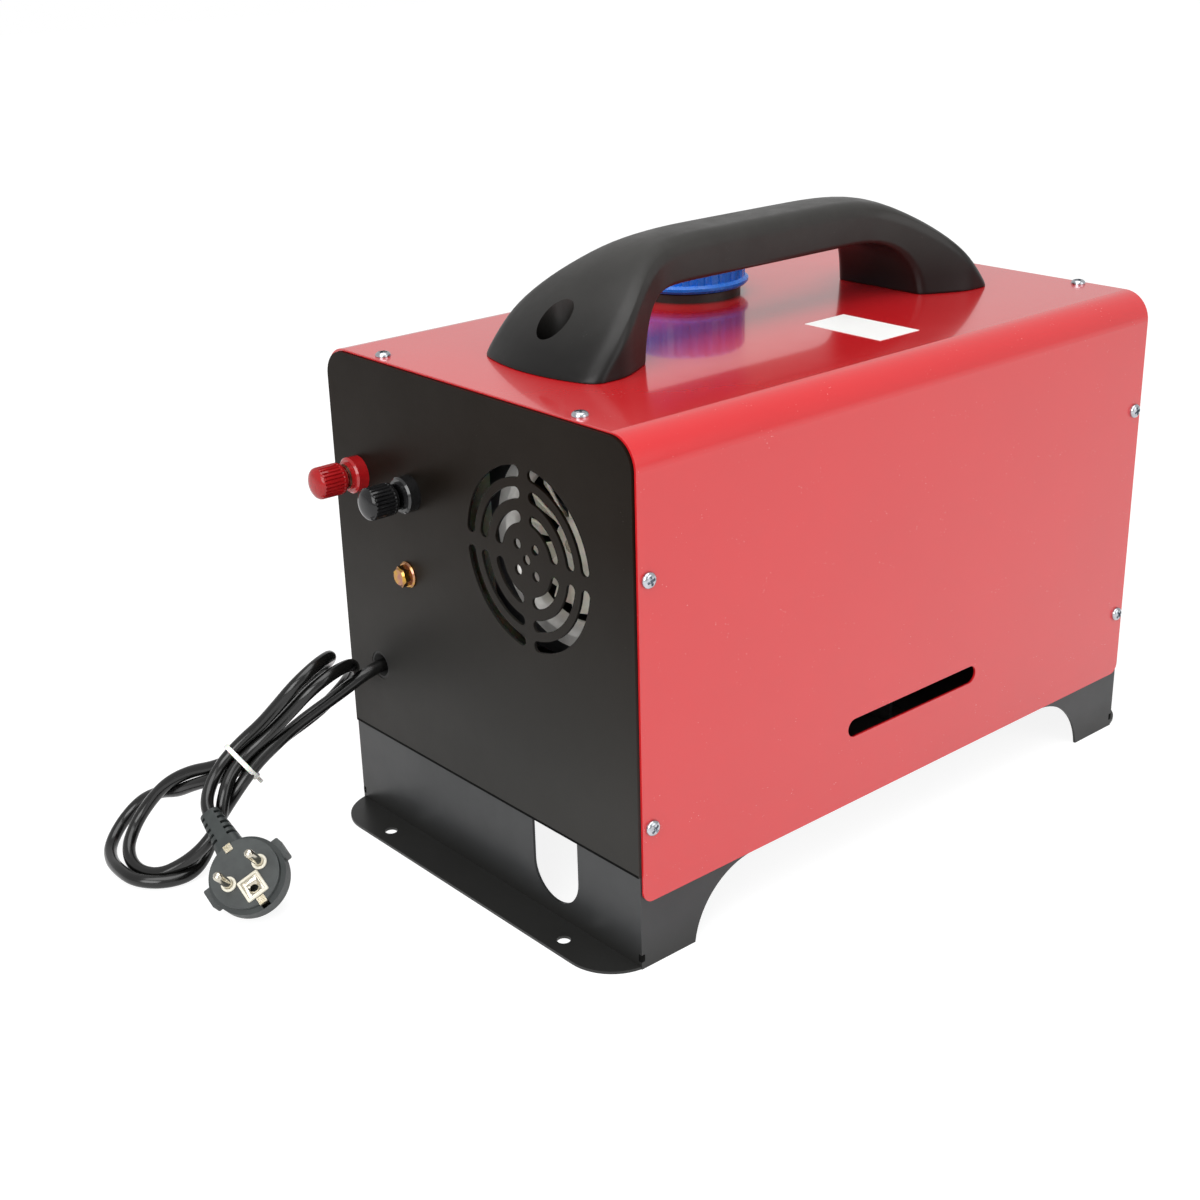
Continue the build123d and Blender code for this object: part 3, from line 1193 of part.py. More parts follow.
with BuildPart() as cable_tie:
    with BuildSketch(waist_plane.offset(-tie_width / 2)):
        band = waist_thick / 2 - 0.6
        RectangleRounded(waist_wide - 0.8 + 2 * tie_band, waist_thick - 0.8 + 2 * tie_band, band + tie_band)
        RectangleRounded(waist_wide - 0.8, waist_thick - 0.8, band + 0.1, mode=Mode.SUBTRACT)
    extrude(amount=tie_width)
cable_tie.part.label = "cable_tie"
export_step(cable_tie.part, "parts/cable_tie.step")

# ---------------------------------------------------------------- plug
plug_line = Axis(plug_face_centre, plug_plane.z_dir)
plug_half_plan = Plane(origin=plug_face_centre, x_dir=plug_plane.x_dir, z_dir=-plug_plane.y_dir)

with BuildPart() as plug_body:
    with BuildSketch(plug_half_plan):
        with BuildLine():
            Polyline((0, 0), (plug_face_radius, 0), (plug_face_radius, -3), (plug_body_radius, -4.5),
                     (plug_body_radius, -13), (plug_body_radius - 4, 4 - plug_depth),
                     (plug_body_radius - 10, -plug_depth), (0, -plug_depth), close=True)
        make_face()
    revolve(axis=plug_line)
    # Grip wings on both sides.
    for side in (-1, 1):
        with BuildSketch(plug_plane.offset(-13)):
            with Locations((2, side * plug_body_radius)):
                RectangleRounded(11, 5, 1)
        extrude(amount=8)
    # Strain relief with cross slots.
    with BuildSketch(relief_plane):
        RectangleRounded(16, 14, 4)
    with BuildSketch(relief_plane.offset(relief_length)):
        RectangleRounded(11, 10.4, 4)
    loft()
    for side in (-1, 1):
        for slot in range(relief_slots):
            with BuildSketch(relief_plane.offset(9 + slot * 4.2)):
                with Locations((side * 6.2, 0)):
                    Rectangle(6.4, 16)
            extrude(amount=1.8, mode=Mode.SUBTRACT)
    # Bores for the pins, recesses for the earth contacts.
    with BuildSketch(plug_plane):
        with Locations((0, -pin_spacing / 2), (0, pin_spacing / 2)):
            Circle(pin_radius + 0.9)
        with Locations((-earth_socket_drop, 0)):
            Rectangle(earth_socket_side, earth_socket_side)
    extrude(amount=-6, mode=Mode.SUBTRACT)
    with BuildSketch(plug_plane):
        with Locations((-plug_face_radius + 1, 0), (plug_face_radius - 1, 0)):
            Rectangle(6, 4.6)
    extrude(amount=-12, mode=Mode.SUBTRACT)
    with BuildSketch(relief_plane.offset(relief_length)):
        Circle(lead_radius + grommet_fit)
    extrude(amount=-relief_grip, mode=Mode.SUBTRACT)
plug_body.part.label = "plug_body"
export_step(plug_body.part, "parts/plug_body.step")
print("plug lowest", plug_body.part.bounding_box().min.Z)

with BuildPart() as plug_pins:
    with BuildSketch(plug_plane.offset(-6)):
        with Locations((0, -pin_spacing / 2), (0, pin_spacing / 2)):
            Circle(pin_radius)
    extrude(amount=6 + pin_length)
    chamfer(plug_pins.faces().sort_by(plug_line)[-2:].edges(), 1.1)
    with BuildSketch(plug_plane.offset(-6)):
        with Locations((0, -pin_spacing / 2), (0, pin_spacing / 2)):
            Circle(pin_radius + 0.85)
    extrude(amount=6.6)
plug_pins.part.label = "plug_pins"
export_step(plug_pins.part, "parts/plug_pins.step")

with BuildPart() as plug_earth_contacts:
    with BuildSketch(plug_plane.offset(-12)):
        with Locations((-plug_face_radius + 1.4, 0), (plug_face_radius - 1.4, 0)):
            Rectangle(4, 4.4)
    extrude(amount=11.6)
    with BuildSketch(plug_plane.offset(-6)):
        with Locations((-earth_socket_drop, 0)):
            Rectangle(earth_socket_side - 0.1, earth_socket_side - 0.1)
            Circle(pin_radius + 0.2, mode=Mode.SUBTRACT)
    extrude(amount=4.5)
plug_earth_contacts.part.label = "plug_earth_contacts"
export_step(plug_earth_contacts.part, "parts/plug_earth_contacts.step")
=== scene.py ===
"""Looks of a portable diesel air heater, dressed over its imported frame.

Metres, unless a comment says mm. +X runs along the case from the air inlet to the outlet, +Z is up."""

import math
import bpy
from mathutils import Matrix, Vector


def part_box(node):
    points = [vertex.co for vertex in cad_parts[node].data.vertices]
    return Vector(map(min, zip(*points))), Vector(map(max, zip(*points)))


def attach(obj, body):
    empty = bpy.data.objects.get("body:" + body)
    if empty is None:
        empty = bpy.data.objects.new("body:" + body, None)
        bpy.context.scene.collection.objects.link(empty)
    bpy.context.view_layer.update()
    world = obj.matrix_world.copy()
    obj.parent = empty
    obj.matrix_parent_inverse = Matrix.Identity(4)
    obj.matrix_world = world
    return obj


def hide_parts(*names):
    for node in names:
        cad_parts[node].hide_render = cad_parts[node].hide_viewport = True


bl_info = {
    "name": "Portable diesel air heater",
    "version": (1, 0, 0),
    "blender": (4, 5, 0),
    "location": "3D View > Sidebar > Heater",
    "description": "Builds the looks of a portable diesel air heater over its packed frame",
    "category": "Add Mesh",
}

import bpy
from bpy.props import FloatProperty, FloatVectorProperty, PointerProperty
from mathutils import Matrix, Quaternion, Vector

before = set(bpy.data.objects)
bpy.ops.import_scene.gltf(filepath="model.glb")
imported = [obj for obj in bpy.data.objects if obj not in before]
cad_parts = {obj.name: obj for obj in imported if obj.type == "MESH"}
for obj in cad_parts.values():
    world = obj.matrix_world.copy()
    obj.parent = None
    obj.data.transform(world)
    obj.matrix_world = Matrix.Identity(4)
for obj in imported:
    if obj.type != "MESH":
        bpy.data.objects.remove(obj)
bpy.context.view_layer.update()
MM = 0.001

# ---------------------------------------------------------------- places on the object
# The camera's angle round the object, its angle above it and its roll, in degrees, and its lens in mm.
CAMERA_PLACE = (-0.68335, -0.67277, 0.49520)
CAMERA_ANGLES = (-40.27, 22.14, -1.58)
CAMERA_LENS, CAMERA_SENSOR = 53.43, 36.0

# The tie's middle, the way the bundled lead runs through it, and the way the bundle is wide.
TIE_CENTRE = Vector((-0.2763, 0.1112, 0.0563))
BUNDLE_WAY = Vector((0.823, -0.135, 0.551)).normalized()
FAN_WAY = Vector((-0.279, 0.749, 0.601))
# Its band: the radius of its two round ends, how far their middles lie from the tie's, and its thickness.
TIE_RADIUS, TIE_STRETCH, TIE_THICKNESS = 0.0084, 0.0042, 0.0011

# The plug's face: its middle, the way the pins point and the way to the cable's side.
PLUG_FACE = Vector((-0.3127, 0.0519, 0.0274))
PIN_WAY = Vector((-0.5543, -0.4512, 0.6994)).normalized()
CABLE_WAY = Vector((-0.025, 0.849, 0.528))
# How far the pins and the earth socket lie from the face's middle, and the socket's width.
PIN_OFFSET = 0.0095
EARTH_OFFSET, EARTH_BORE_OFFSET, EARTH_SQUARE = -0.0085, -0.0101, 0.0096

LABEL_PLACE, LABEL_THICKNESS = (0.024, -0.058), 0.0002
# The height of the joint between end panels and tray. An outer corner of the tray, at the height of the black
# blocks of painted shade in its corners, and how far in from it a block lies.
SEAM_HEIGHT = 0.0519
TRAY_CORNER, SHADE_BLOCK_INSET = (0.1952, 0.1206, 0.006), 0.0011
# The cover's screws: along the case, across its top, and up its sides.
SCREW_X, TOP_SCREW_Y, SIDE_SCREW_HEIGHTS = 0.1883, 0.078, (0.077, 0.203)
# Their cross recess: the length, width and depth of an arm, and the height of its middle on the head.
CROSS_LONG, CROSS_WIDE, CROSS_DEEP, CROSS_HEIGHT = 0.0050, 0.0014, 0.0042, 0.0026
# Radius of the handle screws' heads and of the recesses round them, and each recess's ends above the cover.
HANDLE_SCREW_HEAD, HANDLE_RECESS, HANDLE_RECESS_ENDS = 0.00525, 0.0095, (0.008, 0.06)
# The knobs' flutes: how many, how many points round the knob for each, the share of the radius left in them,
# and their ends from the knob's foot.
FLUTES, FLUTE_POINTS, FLUTE_SHARE, FLUTE_ENDS = 26, 4, 0.92, (0.004, 0.0155)
# The fan's blades: how many, how far each is twisted, and its pitch.
BLADES, BLADE_TWIST, BLADE_PITCH = 16, math.radians(22), math.radians(50)

# Half the handle's width at its grip and how much its feet add, then where that starts and over what
# length, in mm.
GRIP_HALF, FOOT_MORE = 18, 26.5
SPREAD_START, SPREAD_LENGTH = 70, 70
# Radius of the long edges, in mm: wide along the crown and tight underneath.
CROWN_ROLL, INNER_ROLL = 8, 3
# Where the foot's wedge starts, how long it is and how far its end bows out, in mm.
FOOT_START, FOOT_LENGTH, FOOT_BOW = 104.5, 54, 9

# The handle from its middle to a foot, in mm above the cover: the grip's inner line, the crown's line, and
# how far the crown has dropped at its edges.
HANDLE_LINE = (
    (0, 32, 0, 56.5, 1), (34, 32, 34, 56.5, 1), (58, 32, 60, 56.3, 1.5), (76, 31.6, 84, 54.2, 3),
    (88, 28.8, 102, 47.5, 4.5), (96, 23, 118, 38.5, 5.5), (100.5, 16, 133, 27.5, 5),
    (102.8, 9.5, 146, 15.5, 3), (104, 3, 157.6, 2.8, 0.3), (104.5, 0, 158.5, 0, 0),
)

# The mains lead's own line: out of the grommet, twice round below the tie and twice above it, then on to
# the plug.
LEAD_ROUTE = (
    (-0.1840, 0.0910, 0.0950), (-0.1917, 0.0909, 0.0953), (-0.2064, 0.0917, 0.0924),
    (-0.2192, 0.0950, 0.0851), (-0.2319, 0.0985, 0.0785), (-0.2450, 0.1014, 0.0719),
    (-0.2579, 0.1026, 0.0646), (-0.2705, 0.1036, 0.0569), (-0.2824, 0.1029, 0.0476),
    (-0.2904, 0.1066, 0.0358), (-0.2938, 0.1146, 0.0232), (-0.3015, 0.1132, 0.0091),
    (-0.3146, 0.1067, 0.0037), (-0.3306, 0.1087, 0.0041), (-0.3418, 0.1204, 0.0049),
    (-0.3428, 0.1359, 0.0051), (-0.3404, 0.1508, 0.0037), (-0.3342, 0.1651, 0.0042),
    (-0.3219, 0.1729, 0.0115), (-0.3099, 0.1704, 0.0221), (-0.3030, 0.1585, 0.0296),
    (-0.2998, 0.1443, 0.0340), (-0.2960, 0.1316, 0.0416), (-0.2887, 0.1195, 0.0472),
    (-0.2763, 0.1114, 0.0516), (-0.2623, 0.1096, 0.0575), (-0.2480, 0.1108, 0.0626),
    (-0.2333, 0.1141, 0.0647), (-0.2186, 0.1168, 0.0686), (-0.2074, 0.1125, 0.0794),
    (-0.2055, 0.1026, 0.0923), (-0.2147, 0.0922, 0.1011), (-0.2300, 0.0870, 0.1017),
    (-0.2440, 0.0889, 0.0947), (-0.2521, 0.0957, 0.0835), (-0.2600, 0.1026, 0.0727),
    (-0.2705, 0.1081, 0.0631), (-0.2834, 0.1084, 0.0550), (-0.2935, 0.1031, 0.0451),
    (-0.2986, 0.1001, 0.0310), (-0.3084, 0.1026, 0.0198), (-0.3175, 0.1096, 0.0104),
    (-0.3290, 0.1176, 0.0042), (-0.3353, 0.1325, 0.0037), (-0.3321, 0.1477, 0.0085),
    (-0.3213, 0.1557, 0.0177), (-0.3116, 0.1534, 0.0295), (-0.3040, 0.1460, 0.0405),
    (-0.2941, 0.1367, 0.0473), (-0.2858, 0.1246, 0.0513), (-0.2757, 0.1149, 0.0577),
    (-0.2627, 0.1144, 0.0663), (-0.2496, 0.1184, 0.0726), (-0.2356, 0.1234, 0.0766),
    (-0.2221, 0.1221, 0.0847), (-0.2159, 0.1123, 0.0968), (-0.2218, 0.0997, 0.1062),
    (-0.2364, 0.0916, 0.1073), (-0.2507, 0.0917, 0.0998), (-0.2587, 0.0980, 0.0882),
    (-0.2658, 0.1052, 0.0769), (-0.2753, 0.1119, 0.0671), (-0.2859, 0.1158, 0.0568),
    (-0.2975, 0.1118, 0.0470), (-0.3058, 0.1003, 0.0407), (-0.3053, 0.0928, 0.0379),
)

# Each lamp's name, place, size and power in watts. They aim at the middle of the object.
LAMPS = (
    ("overhead_softbox", (-0.3, -0.2, 1.9), 1.7, 24.0),
    ("left_softbox", (-1.7, -0.7, 1.0), 1.2, 19.0),
    ("front_softbox", (0.5, -2.0, 1.0), 1.4, 9.5),
)
LAMP_TARGET = Vector((0, 0, 0.15))
# The floor's own glow, and how grey it is under that. How bright floor and surroundings look mirrored, as a
# share of how they look to the camera. The light of the surroundings.
PAPER_GLOW, PAPER_GREY = 0.88, 0.25
FLOOR_MIRRORED, SURROUNDINGS_MIRRORED = 0.55, 0.25
SURROUNDINGS_LIGHT = 0.5


def plane_axes(normal, aside):
    """A turned frame: its Z is normal, its X the part of aside that is square to it."""
    z = normal.normalized()
    x = (aside - z * aside.dot(z)).normalized()
    return Matrix((x, z.cross(x), z)).transposed().to_4x4()


def clamp(value, low=0, high=1):
    """The value, kept between low and high."""
    return min(max(value, low), high)


def along(line, place):
    """A smooth value of each column of a line, at a place counted in its rows."""
    row = min(int(place), len(line) - 2)
    part = place - row
    a, b, c, d = (line[clamp(row + step, 0, len(line) - 1)] for step in (-1, 0, 1, 2))
    return [q + 0.5 * part * (r - p + part * (2 * p - 5 * q + 4 * r - s + part * (3 * (q - r) + s - p)))
            for p, q, r, s in zip(a, b, c, d)]


def millimetres(*points):
    """A profile's (radius, height) points given in mm, in metres."""
    return [(radius * MM, height * MM) for radius, height in points]


# ---------------------------------------------------------------- materials
def linear(colour):
    """An sRGB hex colour as the linear RGBA that a node takes. A linear colour passes as it is."""
    if not isinstance(colour, str):
        return list(colour)
    parts = [int(colour[i:i + 2], 16) / 255 for i in (1, 3, 5)]
    return [c / 12.92 if c <= 0.04045 else ((c + 0.055) / 1.055) ** 2.4 for c in parts] + [1.0]


def add_node(tree, kind, settings=None, **inputs):
    """One node with its settings. An input is a value, or the output socket that feeds it.

    An input goes by its name, or as i0, i1 and so on by its number."""
    node = tree.nodes.new(kind)
    for name, value in (settings or {}).items():
        setattr(node, name, value)
    for name, value in inputs.items():
        numbered = name[0] == "i" and name[1:].isdigit()
        socket = node.inputs[int(name[1:]) if numbered else name.replace("_", " ")]
        if isinstance(value, bpy.types.NodeSocket):
            tree.links.new(value, socket)
        else:
            socket.default_value = value
    return node


def ramp(tree, value, low, high, start=0.0, end=1.0):
    """A value between low and high mapped to one between start and end, and held there beyond them."""
    return add_node(tree, "ShaderNodeMapRange", Value=value, i1=low, i2=high, i3=start,
                    i4=end).outputs["Result"]


def blend(tree, share, first, second):
    """The first colour with a share of the second in it."""
    return add_node(tree, "ShaderNodeMix", {"data_type": "RGBA"}, Factor=share, i6=first,
                    i7=second).outputs[2]


def calculate(tree, operation, first, second):
    """What one operation, such as MULTIPLY or MAXIMUM, makes of two values."""
    return add_node(tree, "ShaderNodeMath", {"operation": operation}, i0=first, i1=second).outputs[0]


def surface(name, colour, rough, second=None, patch=12.0, metal=0.0, grain=None, stretch=(1, 1, 1),
            spread=0.06, specks=None, painted_fade=None, shader=None):
    """A finish: its colour drifts to a second one in patches, its roughness wanders, its grain is a bump.

    patch and grain (size, depth) are in mm. specks is (size, share, colour) of dust or fibres, and
    painted_fade is (low, high, colour) of painted sheen and shade by height: up to low the finish has that
    colour too, and from high on none of it."""
    material = bpy.data.materials.new(name)
    material.use_nodes = True
    tree = material.node_tree
    tree.nodes.clear()
    place = add_node(tree, "ShaderNodeTexCoord").outputs["Object"]
    run = add_node(tree, "ShaderNodeMapping", Vector=place, Scale=stretch).outputs["Vector"]
    drift = add_node(tree, "ShaderNodeTexNoise", Vector=run, Scale=1 / (patch * MM), Detail=5.0,
                     Roughness=0.6).outputs["Fac"]
    tint = blend(tree, ramp(tree, drift, 0.36, 0.66), linear(colour), linear(second or colour))
    if painted_fade:
        # Painted sheen and shade by height: the given colour in full up to low, and none of it from high on.
        low, high, painted_tone = painted_fade
        level = add_node(tree, "ShaderNodeSeparateXYZ", Vector=place).outputs["Z"]
        tint = blend(tree, ramp(tree, level, low, high, 1.0, 0.0), tint, linear(painted_tone))
    fine = add_node(tree, "ShaderNodeTexNoise", Vector=run, Scale=3 / (patch * MM), Detail=8.0,
                    Roughness=0.7).outputs["Fac"]
    gloss = ramp(tree, fine, 0.3, 0.7, max(rough - spread, 0.02), rough + spread)
    if specks:
        size, amount, dust = specks
        # A speck sits in the middle of a cell, and only where a wider noise lets some through.
        cells = add_node(tree, "ShaderNodeTexVoronoi", Vector=place, Scale=1 / (size * 4 * MM),
                         Randomness=1.0)
        wide = add_node(tree, "ShaderNodeTexNoise", Vector=place, Scale=1 / (size * 30 * MM), Detail=3.0)
        near = ramp(tree, cells.outputs["Distance"], 0.05, 0.13, 1.0, 0.0)
        some = ramp(tree, wide.outputs["Fac"], 0.62 - amount, 0.72)
        tint = blend(tree, calculate(tree, "MULTIPLY", near, some), tint, linear(dust))
    out = add_node(tree, "ShaderNodeBsdfPrincipled", Base_Color=tint, Roughness=gloss, Metallic=metal)
    for socket, value in (shader or {}).items():
        out.inputs[socket].default_value = value
    if grain:
        size, depth = grain
        bumps = add_node(tree, "ShaderNodeTexNoise", Vector=run, Scale=1 / (size * MM), Detail=3.0,
                         Roughness=0.55).outputs["Fac"]
        bump = add_node(tree, "ShaderNodeBump", Strength=1.0, Distance=depth * MM, Height=bumps)
        tree.links.new(bump.outputs["Normal"], out.inputs["Normal"])
    add_node(tree, "ShaderNodeOutputMaterial", Surface=out.outputs["BSDF"])
    return material


def coat(obj, material):
    """Gives an object one material and no other."""
    obj.data.materials.clear()
    obj.data.materials.append(material)


def dress(material, *nodes):
    """Gives CAD nodes a finish."""
    for node in nodes:
        coat(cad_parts[node], material)


# ---------------------------------------------------------------- making pieces
def fresh():
    """Leaves edit mode with nothing selected."""
    if bpy.context.object and bpy.context.object.mode != "OBJECT":
        bpy.ops.object.mode_set(mode="OBJECT")
    bpy.ops.object.select_all(action="DESELECT")


def modify(obj, kind, **settings):
    """Adds a modifier and applies it."""
    bpy.context.view_layer.objects.active = obj
    modifier = obj.modifiers.new(kind.title(), kind)
    for name, value in settings.items():
        setattr(modifier, name, value)
    bpy.ops.object.modifier_apply(modifier=modifier.name)


def choose(obj):
    """Selects one object alone and makes it the active one."""
    bpy.ops.object.select_all(action="DESELECT")
    obj.select_set(True)
    bpy.context.view_layer.objects.active = obj


def smooth(obj, degrees=40):
    """Shades an object smooth, apart from the edges that turn by more than that."""
    choose(obj)
    bpy.ops.object.shade_smooth_by_angle(angle=math.radians(degrees))


def settle(obj, place=None):
    """Puts a piece where it belongs and applies that, so that its object sits at the origin."""
    if place is not None:
        obj.matrix_world = place @ obj.matrix_world
    choose(obj)
    bpy.ops.object.transform_apply(location=True, rotation=True, scale=True)


def join(objs, name):
    """Joins pieces that are one part into one object."""
    bpy.ops.object.select_all(action="DESELECT")
    for obj in objs:
        obj.select_set(True)
    bpy.context.view_layer.objects.active = objs[0]
    bpy.ops.object.join()
    objs[0].name = name
    return objs[0]


def block(size, rounding, segments=3):
    """A block of that size with rounded edges, at the origin."""
    fresh()
    bpy.ops.mesh.primitive_cube_add(size=1)
    obj = bpy.context.object
    obj.scale = size
    settle(obj)
    modify(obj, "BEVEL", width=rounding, segments=segments)
    smooth(obj)
    return obj


def tube_ring(sides, radius, height, wall, rounding, segments=3, stretch=0.0):
    """A ring with walls of that thickness inside radius, its rims rounded over. stretch lengthens it in X."""
    fresh()
    bpy.ops.mesh.primitive_cylinder_add(vertices=sides, radius=radius, depth=height, end_fill_type="NOTHING")
    obj = bpy.context.object
    for vertex in obj.data.vertices:
        vertex.co.x += math.copysign(stretch, vertex.co.x)
    modify(obj, "SOLIDIFY", thickness=wall, offset=-1)
    modify(obj, "BEVEL", width=rounding, segments=segments, limit_method="ANGLE",
           angle_limit=math.radians(50))
    smooth(obj)
    return obj


def turned(profile, steps):
    """A closed turned piece: the profile's (radius, height) points spun round Z."""
    fresh()
    (radius, height), *_ = profile
    bpy.ops.mesh.primitive_circle_add(vertices=steps, radius=radius, location=(0, 0, height),
                                      fill_type="TRIFAN")
    obj = bpy.context.object
    settle(obj)
    bpy.ops.object.mode_set(mode="EDIT")
    bpy.ops.mesh.select_all(action="SELECT")
    for (radius, height), (following, level) in zip(profile, profile[1:]):
        bpy.ops.mesh.extrude_region_move(TRANSFORM_OT_translate={"value": (0, 0, level - height)})
        size = following / radius
        bpy.ops.transform.resize(value=(size, size, 1), center_override=(0, 0, level))
    bpy.ops.object.mode_set(mode="OBJECT")
    smooth(obj)
    return obj


def copies(master, places):
    """The master at the first place and a copy, with its own mesh, at each other one."""
    made = [master]
    for _ in places[1:]:
        twin = master.copy()
        twin.data = master.data.copy()
        bpy.context.scene.collection.objects.link(twin)
        made.append(twin)
    for obj, place in zip(made, places):
        settle(obj, place)
    return made


def carve(obj, *cutters):
    """Cuts pieces out of an object and deletes them."""
    for cutter in cutters:
        modify(obj, "BOOLEAN", object=cutter, operation="DIFFERENCE", solver="EXACT")
        bpy.data.objects.remove(cutter)


# ---------------------------------------------------------------- what a user may change
class HeaterSizes(bpy.types.PropertyGroup):
    lead_diameter: FloatProperty(name="Lead diameter", description="Outside of the mains lead", default=0.007,
                                 min=0.004, max=0.012, subtype="DISTANCE", unit="LENGTH")
    tie_width: FloatProperty(name="Tie width", description="Width of the cable tie's band", default=0.0027,
                             min=0.002, max=0.006, subtype="DISTANCE", unit="LENGTH")
    label_length: FloatProperty(name="Label length", description="Blank label across the cover",
                                default=0.053, min=0.02, max=0.08, subtype="DISTANCE", unit="LENGTH")
    label_width: FloatProperty(name="Label width", description="Blank label along the cover",
                               default=0.031, min=0.01, max=0.05, subtype="DISTANCE", unit="LENGTH")


class HeaterColours(bpy.types.PropertyGroup):
    enamel: FloatVectorProperty(name="Cover", description="Colour of the cover's gloss enamel",
                                subtype="COLOR", size=4, min=0, max=1, default=linear("#CB1E24"))


# ---------------------------------------------------------------- camera and lead
class HEATER_OT_camera(bpy.types.Operator):
    """Sets the camera at the product view's place and angle."""
    bl_idname = "heater.camera"
    bl_label = "Camera"

    def execute(self, context):
        around, above, roll = (math.radians(angle) for angle in CAMERA_ANGLES)
        level = math.cos(above)
        back = Vector((math.sin(around) * level, -math.cos(around) * level, math.sin(above)))
        fresh()
        bpy.ops.object.camera_add(location=CAMERA_PLACE)
        camera = context.object
        turn = back.to_track_quat("Z", "Y") @ Quaternion((0, 0, 1), roll)
        camera.rotation_euler = turn.to_euler()
        camera.data.lens = CAMERA_LENS
        camera.data.sensor_width = CAMERA_SENSOR
        camera.data.clip_start = 0.01
        context.scene.camera = camera
        return {"FINISHED"}


class HEATER_OT_mains_lead(bpy.types.Operator):
    """Lays the mains lead on one smooth line, folded into its hank, after its tie and the plug's pieces."""
    bl_idname = "heater.mains_lead"
    bl_label = "Mains lead"

    def execute(self, context):
        sizes = context.scene.heater_sizes
        curve = bpy.data.curves.new("mains_lead_line", "CURVE")
        curve.dimensions = "3D"
        spline = curve.splines.new("NURBS")
        spline.points.add(len(LEAD_ROUTE) - 1)
        for point, place in zip(spline.points, LEAD_ROUTE):
            point.co = (*place, 1.0)
        spline.order_u = 3
        spline.use_endpoint_u = True
        spline.resolution_u = 10
        curve.bevel_depth = sizes.lead_diameter / 2
        curve.bevel_resolution = 7
        curve.use_fill_caps = True
        lead = bpy.data.objects.new("mains_lead_cord", curve)
        context.scene.collection.objects.link(lead)
        # Flexible PVC sheath, extruded: a soft wet gloss with faint ripples from the strands under it.
        coat(lead, surface("extruded_pvc_black", "#0A0A0A", 0.19, "#0F0F0E", patch=30, grain=(9.0, 0.002),
                           spread=0.015, shader={"IOR": 1.53}))
        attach(lead, "chassis")
        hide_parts("mains_lead", "lead_hank", "plug_lead")
        return {"FINISHED"}


class HEATER_OT_cable_tie(bpy.types.Operator):
    """Draws a nylon tie round the lead's waist: band, ratchet head and cut tail."""
    bl_idname = "heater.cable_tie"
    bl_label = "Cable tie"

    def execute(self, context):
        width = context.scene.heater_sizes.tie_width
        place = Matrix.Translation(TIE_CENTRE) @ plane_axes(BUNDLE_WAY, FAN_WAY)
        band = tube_ring(64, TIE_RADIUS, width, TIE_THICKNESS, 0.0003, segments=2, stretch=TIE_STRETCH)
        # The head is a little wider than the band, and the tail that comes out of it a little narrower.
        head = block((0.0052, 0.0036, width + 0.0016), 0.0006)
        head.matrix_world = Matrix.Translation((-0.0078, -0.0092, 0))
        tail = block((0.0045, 0.0011, width - 0.0006), 0.0003)
        tail.matrix_world = Matrix.Translation((-0.0118, -0.0094, 0)) @ Matrix.Rotation(0.3, 4, "Z")
        for piece in (band, head, tail):
            settle(piece, place)
        tie = join([band, head, tail], "cable_tie_white")
        # Natural nylon 66, moulded: milky, slightly waxy.
        coat(tie, surface("moulded_nylon_white", "#E9E9E4", 0.38, "#DCDCD6", patch=6, grain=(0.6, 0.01),
                          shader={"Subsurface Weight": 0.25, "Subsurface Scale": 0.001}))
        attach(tie, "chassis")
        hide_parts("cable_tie")
        return {"FINISHED"}


class HEATER_OT_plug_pins(bpy.types.Operator):
    """Turns the plug's two pins, with rounded ends, and sets the earth socket's plate with its bore."""
    bl_idname = "heater.plug_pins"
    bl_label = "Plug pins"

    def execute(self, context):
        place = Matrix.Translation(PLUG_FACE) @ plane_axes(PIN_WAY, CABLE_WAY)
        pin = turned(millimetres((2.4, -5), (2.4, 17.2), (2.2, 18.1), (1.6, 18.7), (0.6, 19)), 40)
        pins = copies(pin, [place @ Matrix.Translation((0, side * PIN_OFFSET, 0)) for side in (-1, 1)])
        plate = block((EARTH_SQUARE, EARTH_SQUARE, 0.0016), 0.0004)
        settle(plate, Matrix.Translation((EARTH_OFFSET, 0, -0.0005)))
        bore = turned(millimetres((2.3, -3), (2.3, 3)), 40)
        settle(bore, Matrix.Translation((EARTH_BORE_OFFSET, 0, 0)))
        carve(plate, bore)
        settle(plate, place)
        metal = join([*pins, plate], "plug_metal")
        # Nickel-plated brass, turned and buffed: warm white metal with a clear shine.
        coat(metal, surface("buffed_nickel_plate", "#D9D4C8", 0.17, "#C6BFAE", patch=4, metal=1.0))
        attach(metal, "chassis")
        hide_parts("plug_pins")
        return {"FINISHED"}


class HEATER_OT_plug_trim(bpy.types.Operator):
    """Adds the plug's moulded inserts: a collar round each pin and the frame of the earth socket."""
    bl_idname = "heater.plug_trim"
    bl_label = "Plug inserts"

    def execute(self, context):
        place = Matrix.Translation(PLUG_FACE) @ plane_axes(PIN_WAY, CABLE_WAY)
        collar = tube_ring(40, 0.0040, 0.0014, 0.00155, 0.0004)
        collars = copies(collar, [place @ Matrix.Translation((0, side * PIN_OFFSET, 0.0006))
                                  for side in (-1, 1)])
        socket = block((0.0126, 0.0126, 0.0022), 0.0008)
        window = block((EARTH_SQUARE, EARTH_SQUARE, 0.006), 0.0006)
        carve(socket, window)
        settle(socket, place @ Matrix.Translation((EARTH_OFFSET, 0, 0)))
        trim = join([*collars, socket], "plug_inserts")
        # Moulded ABS inserts, ivory, with a soft gloss.
        coat(trim, surface("moulded_abs_ivory", "#E2DECF", 0.35, "#D8D2C0", patch=5, grain=(0.5, 0.008)))
        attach(trim, "chassis")
        return {"FINISHED"}


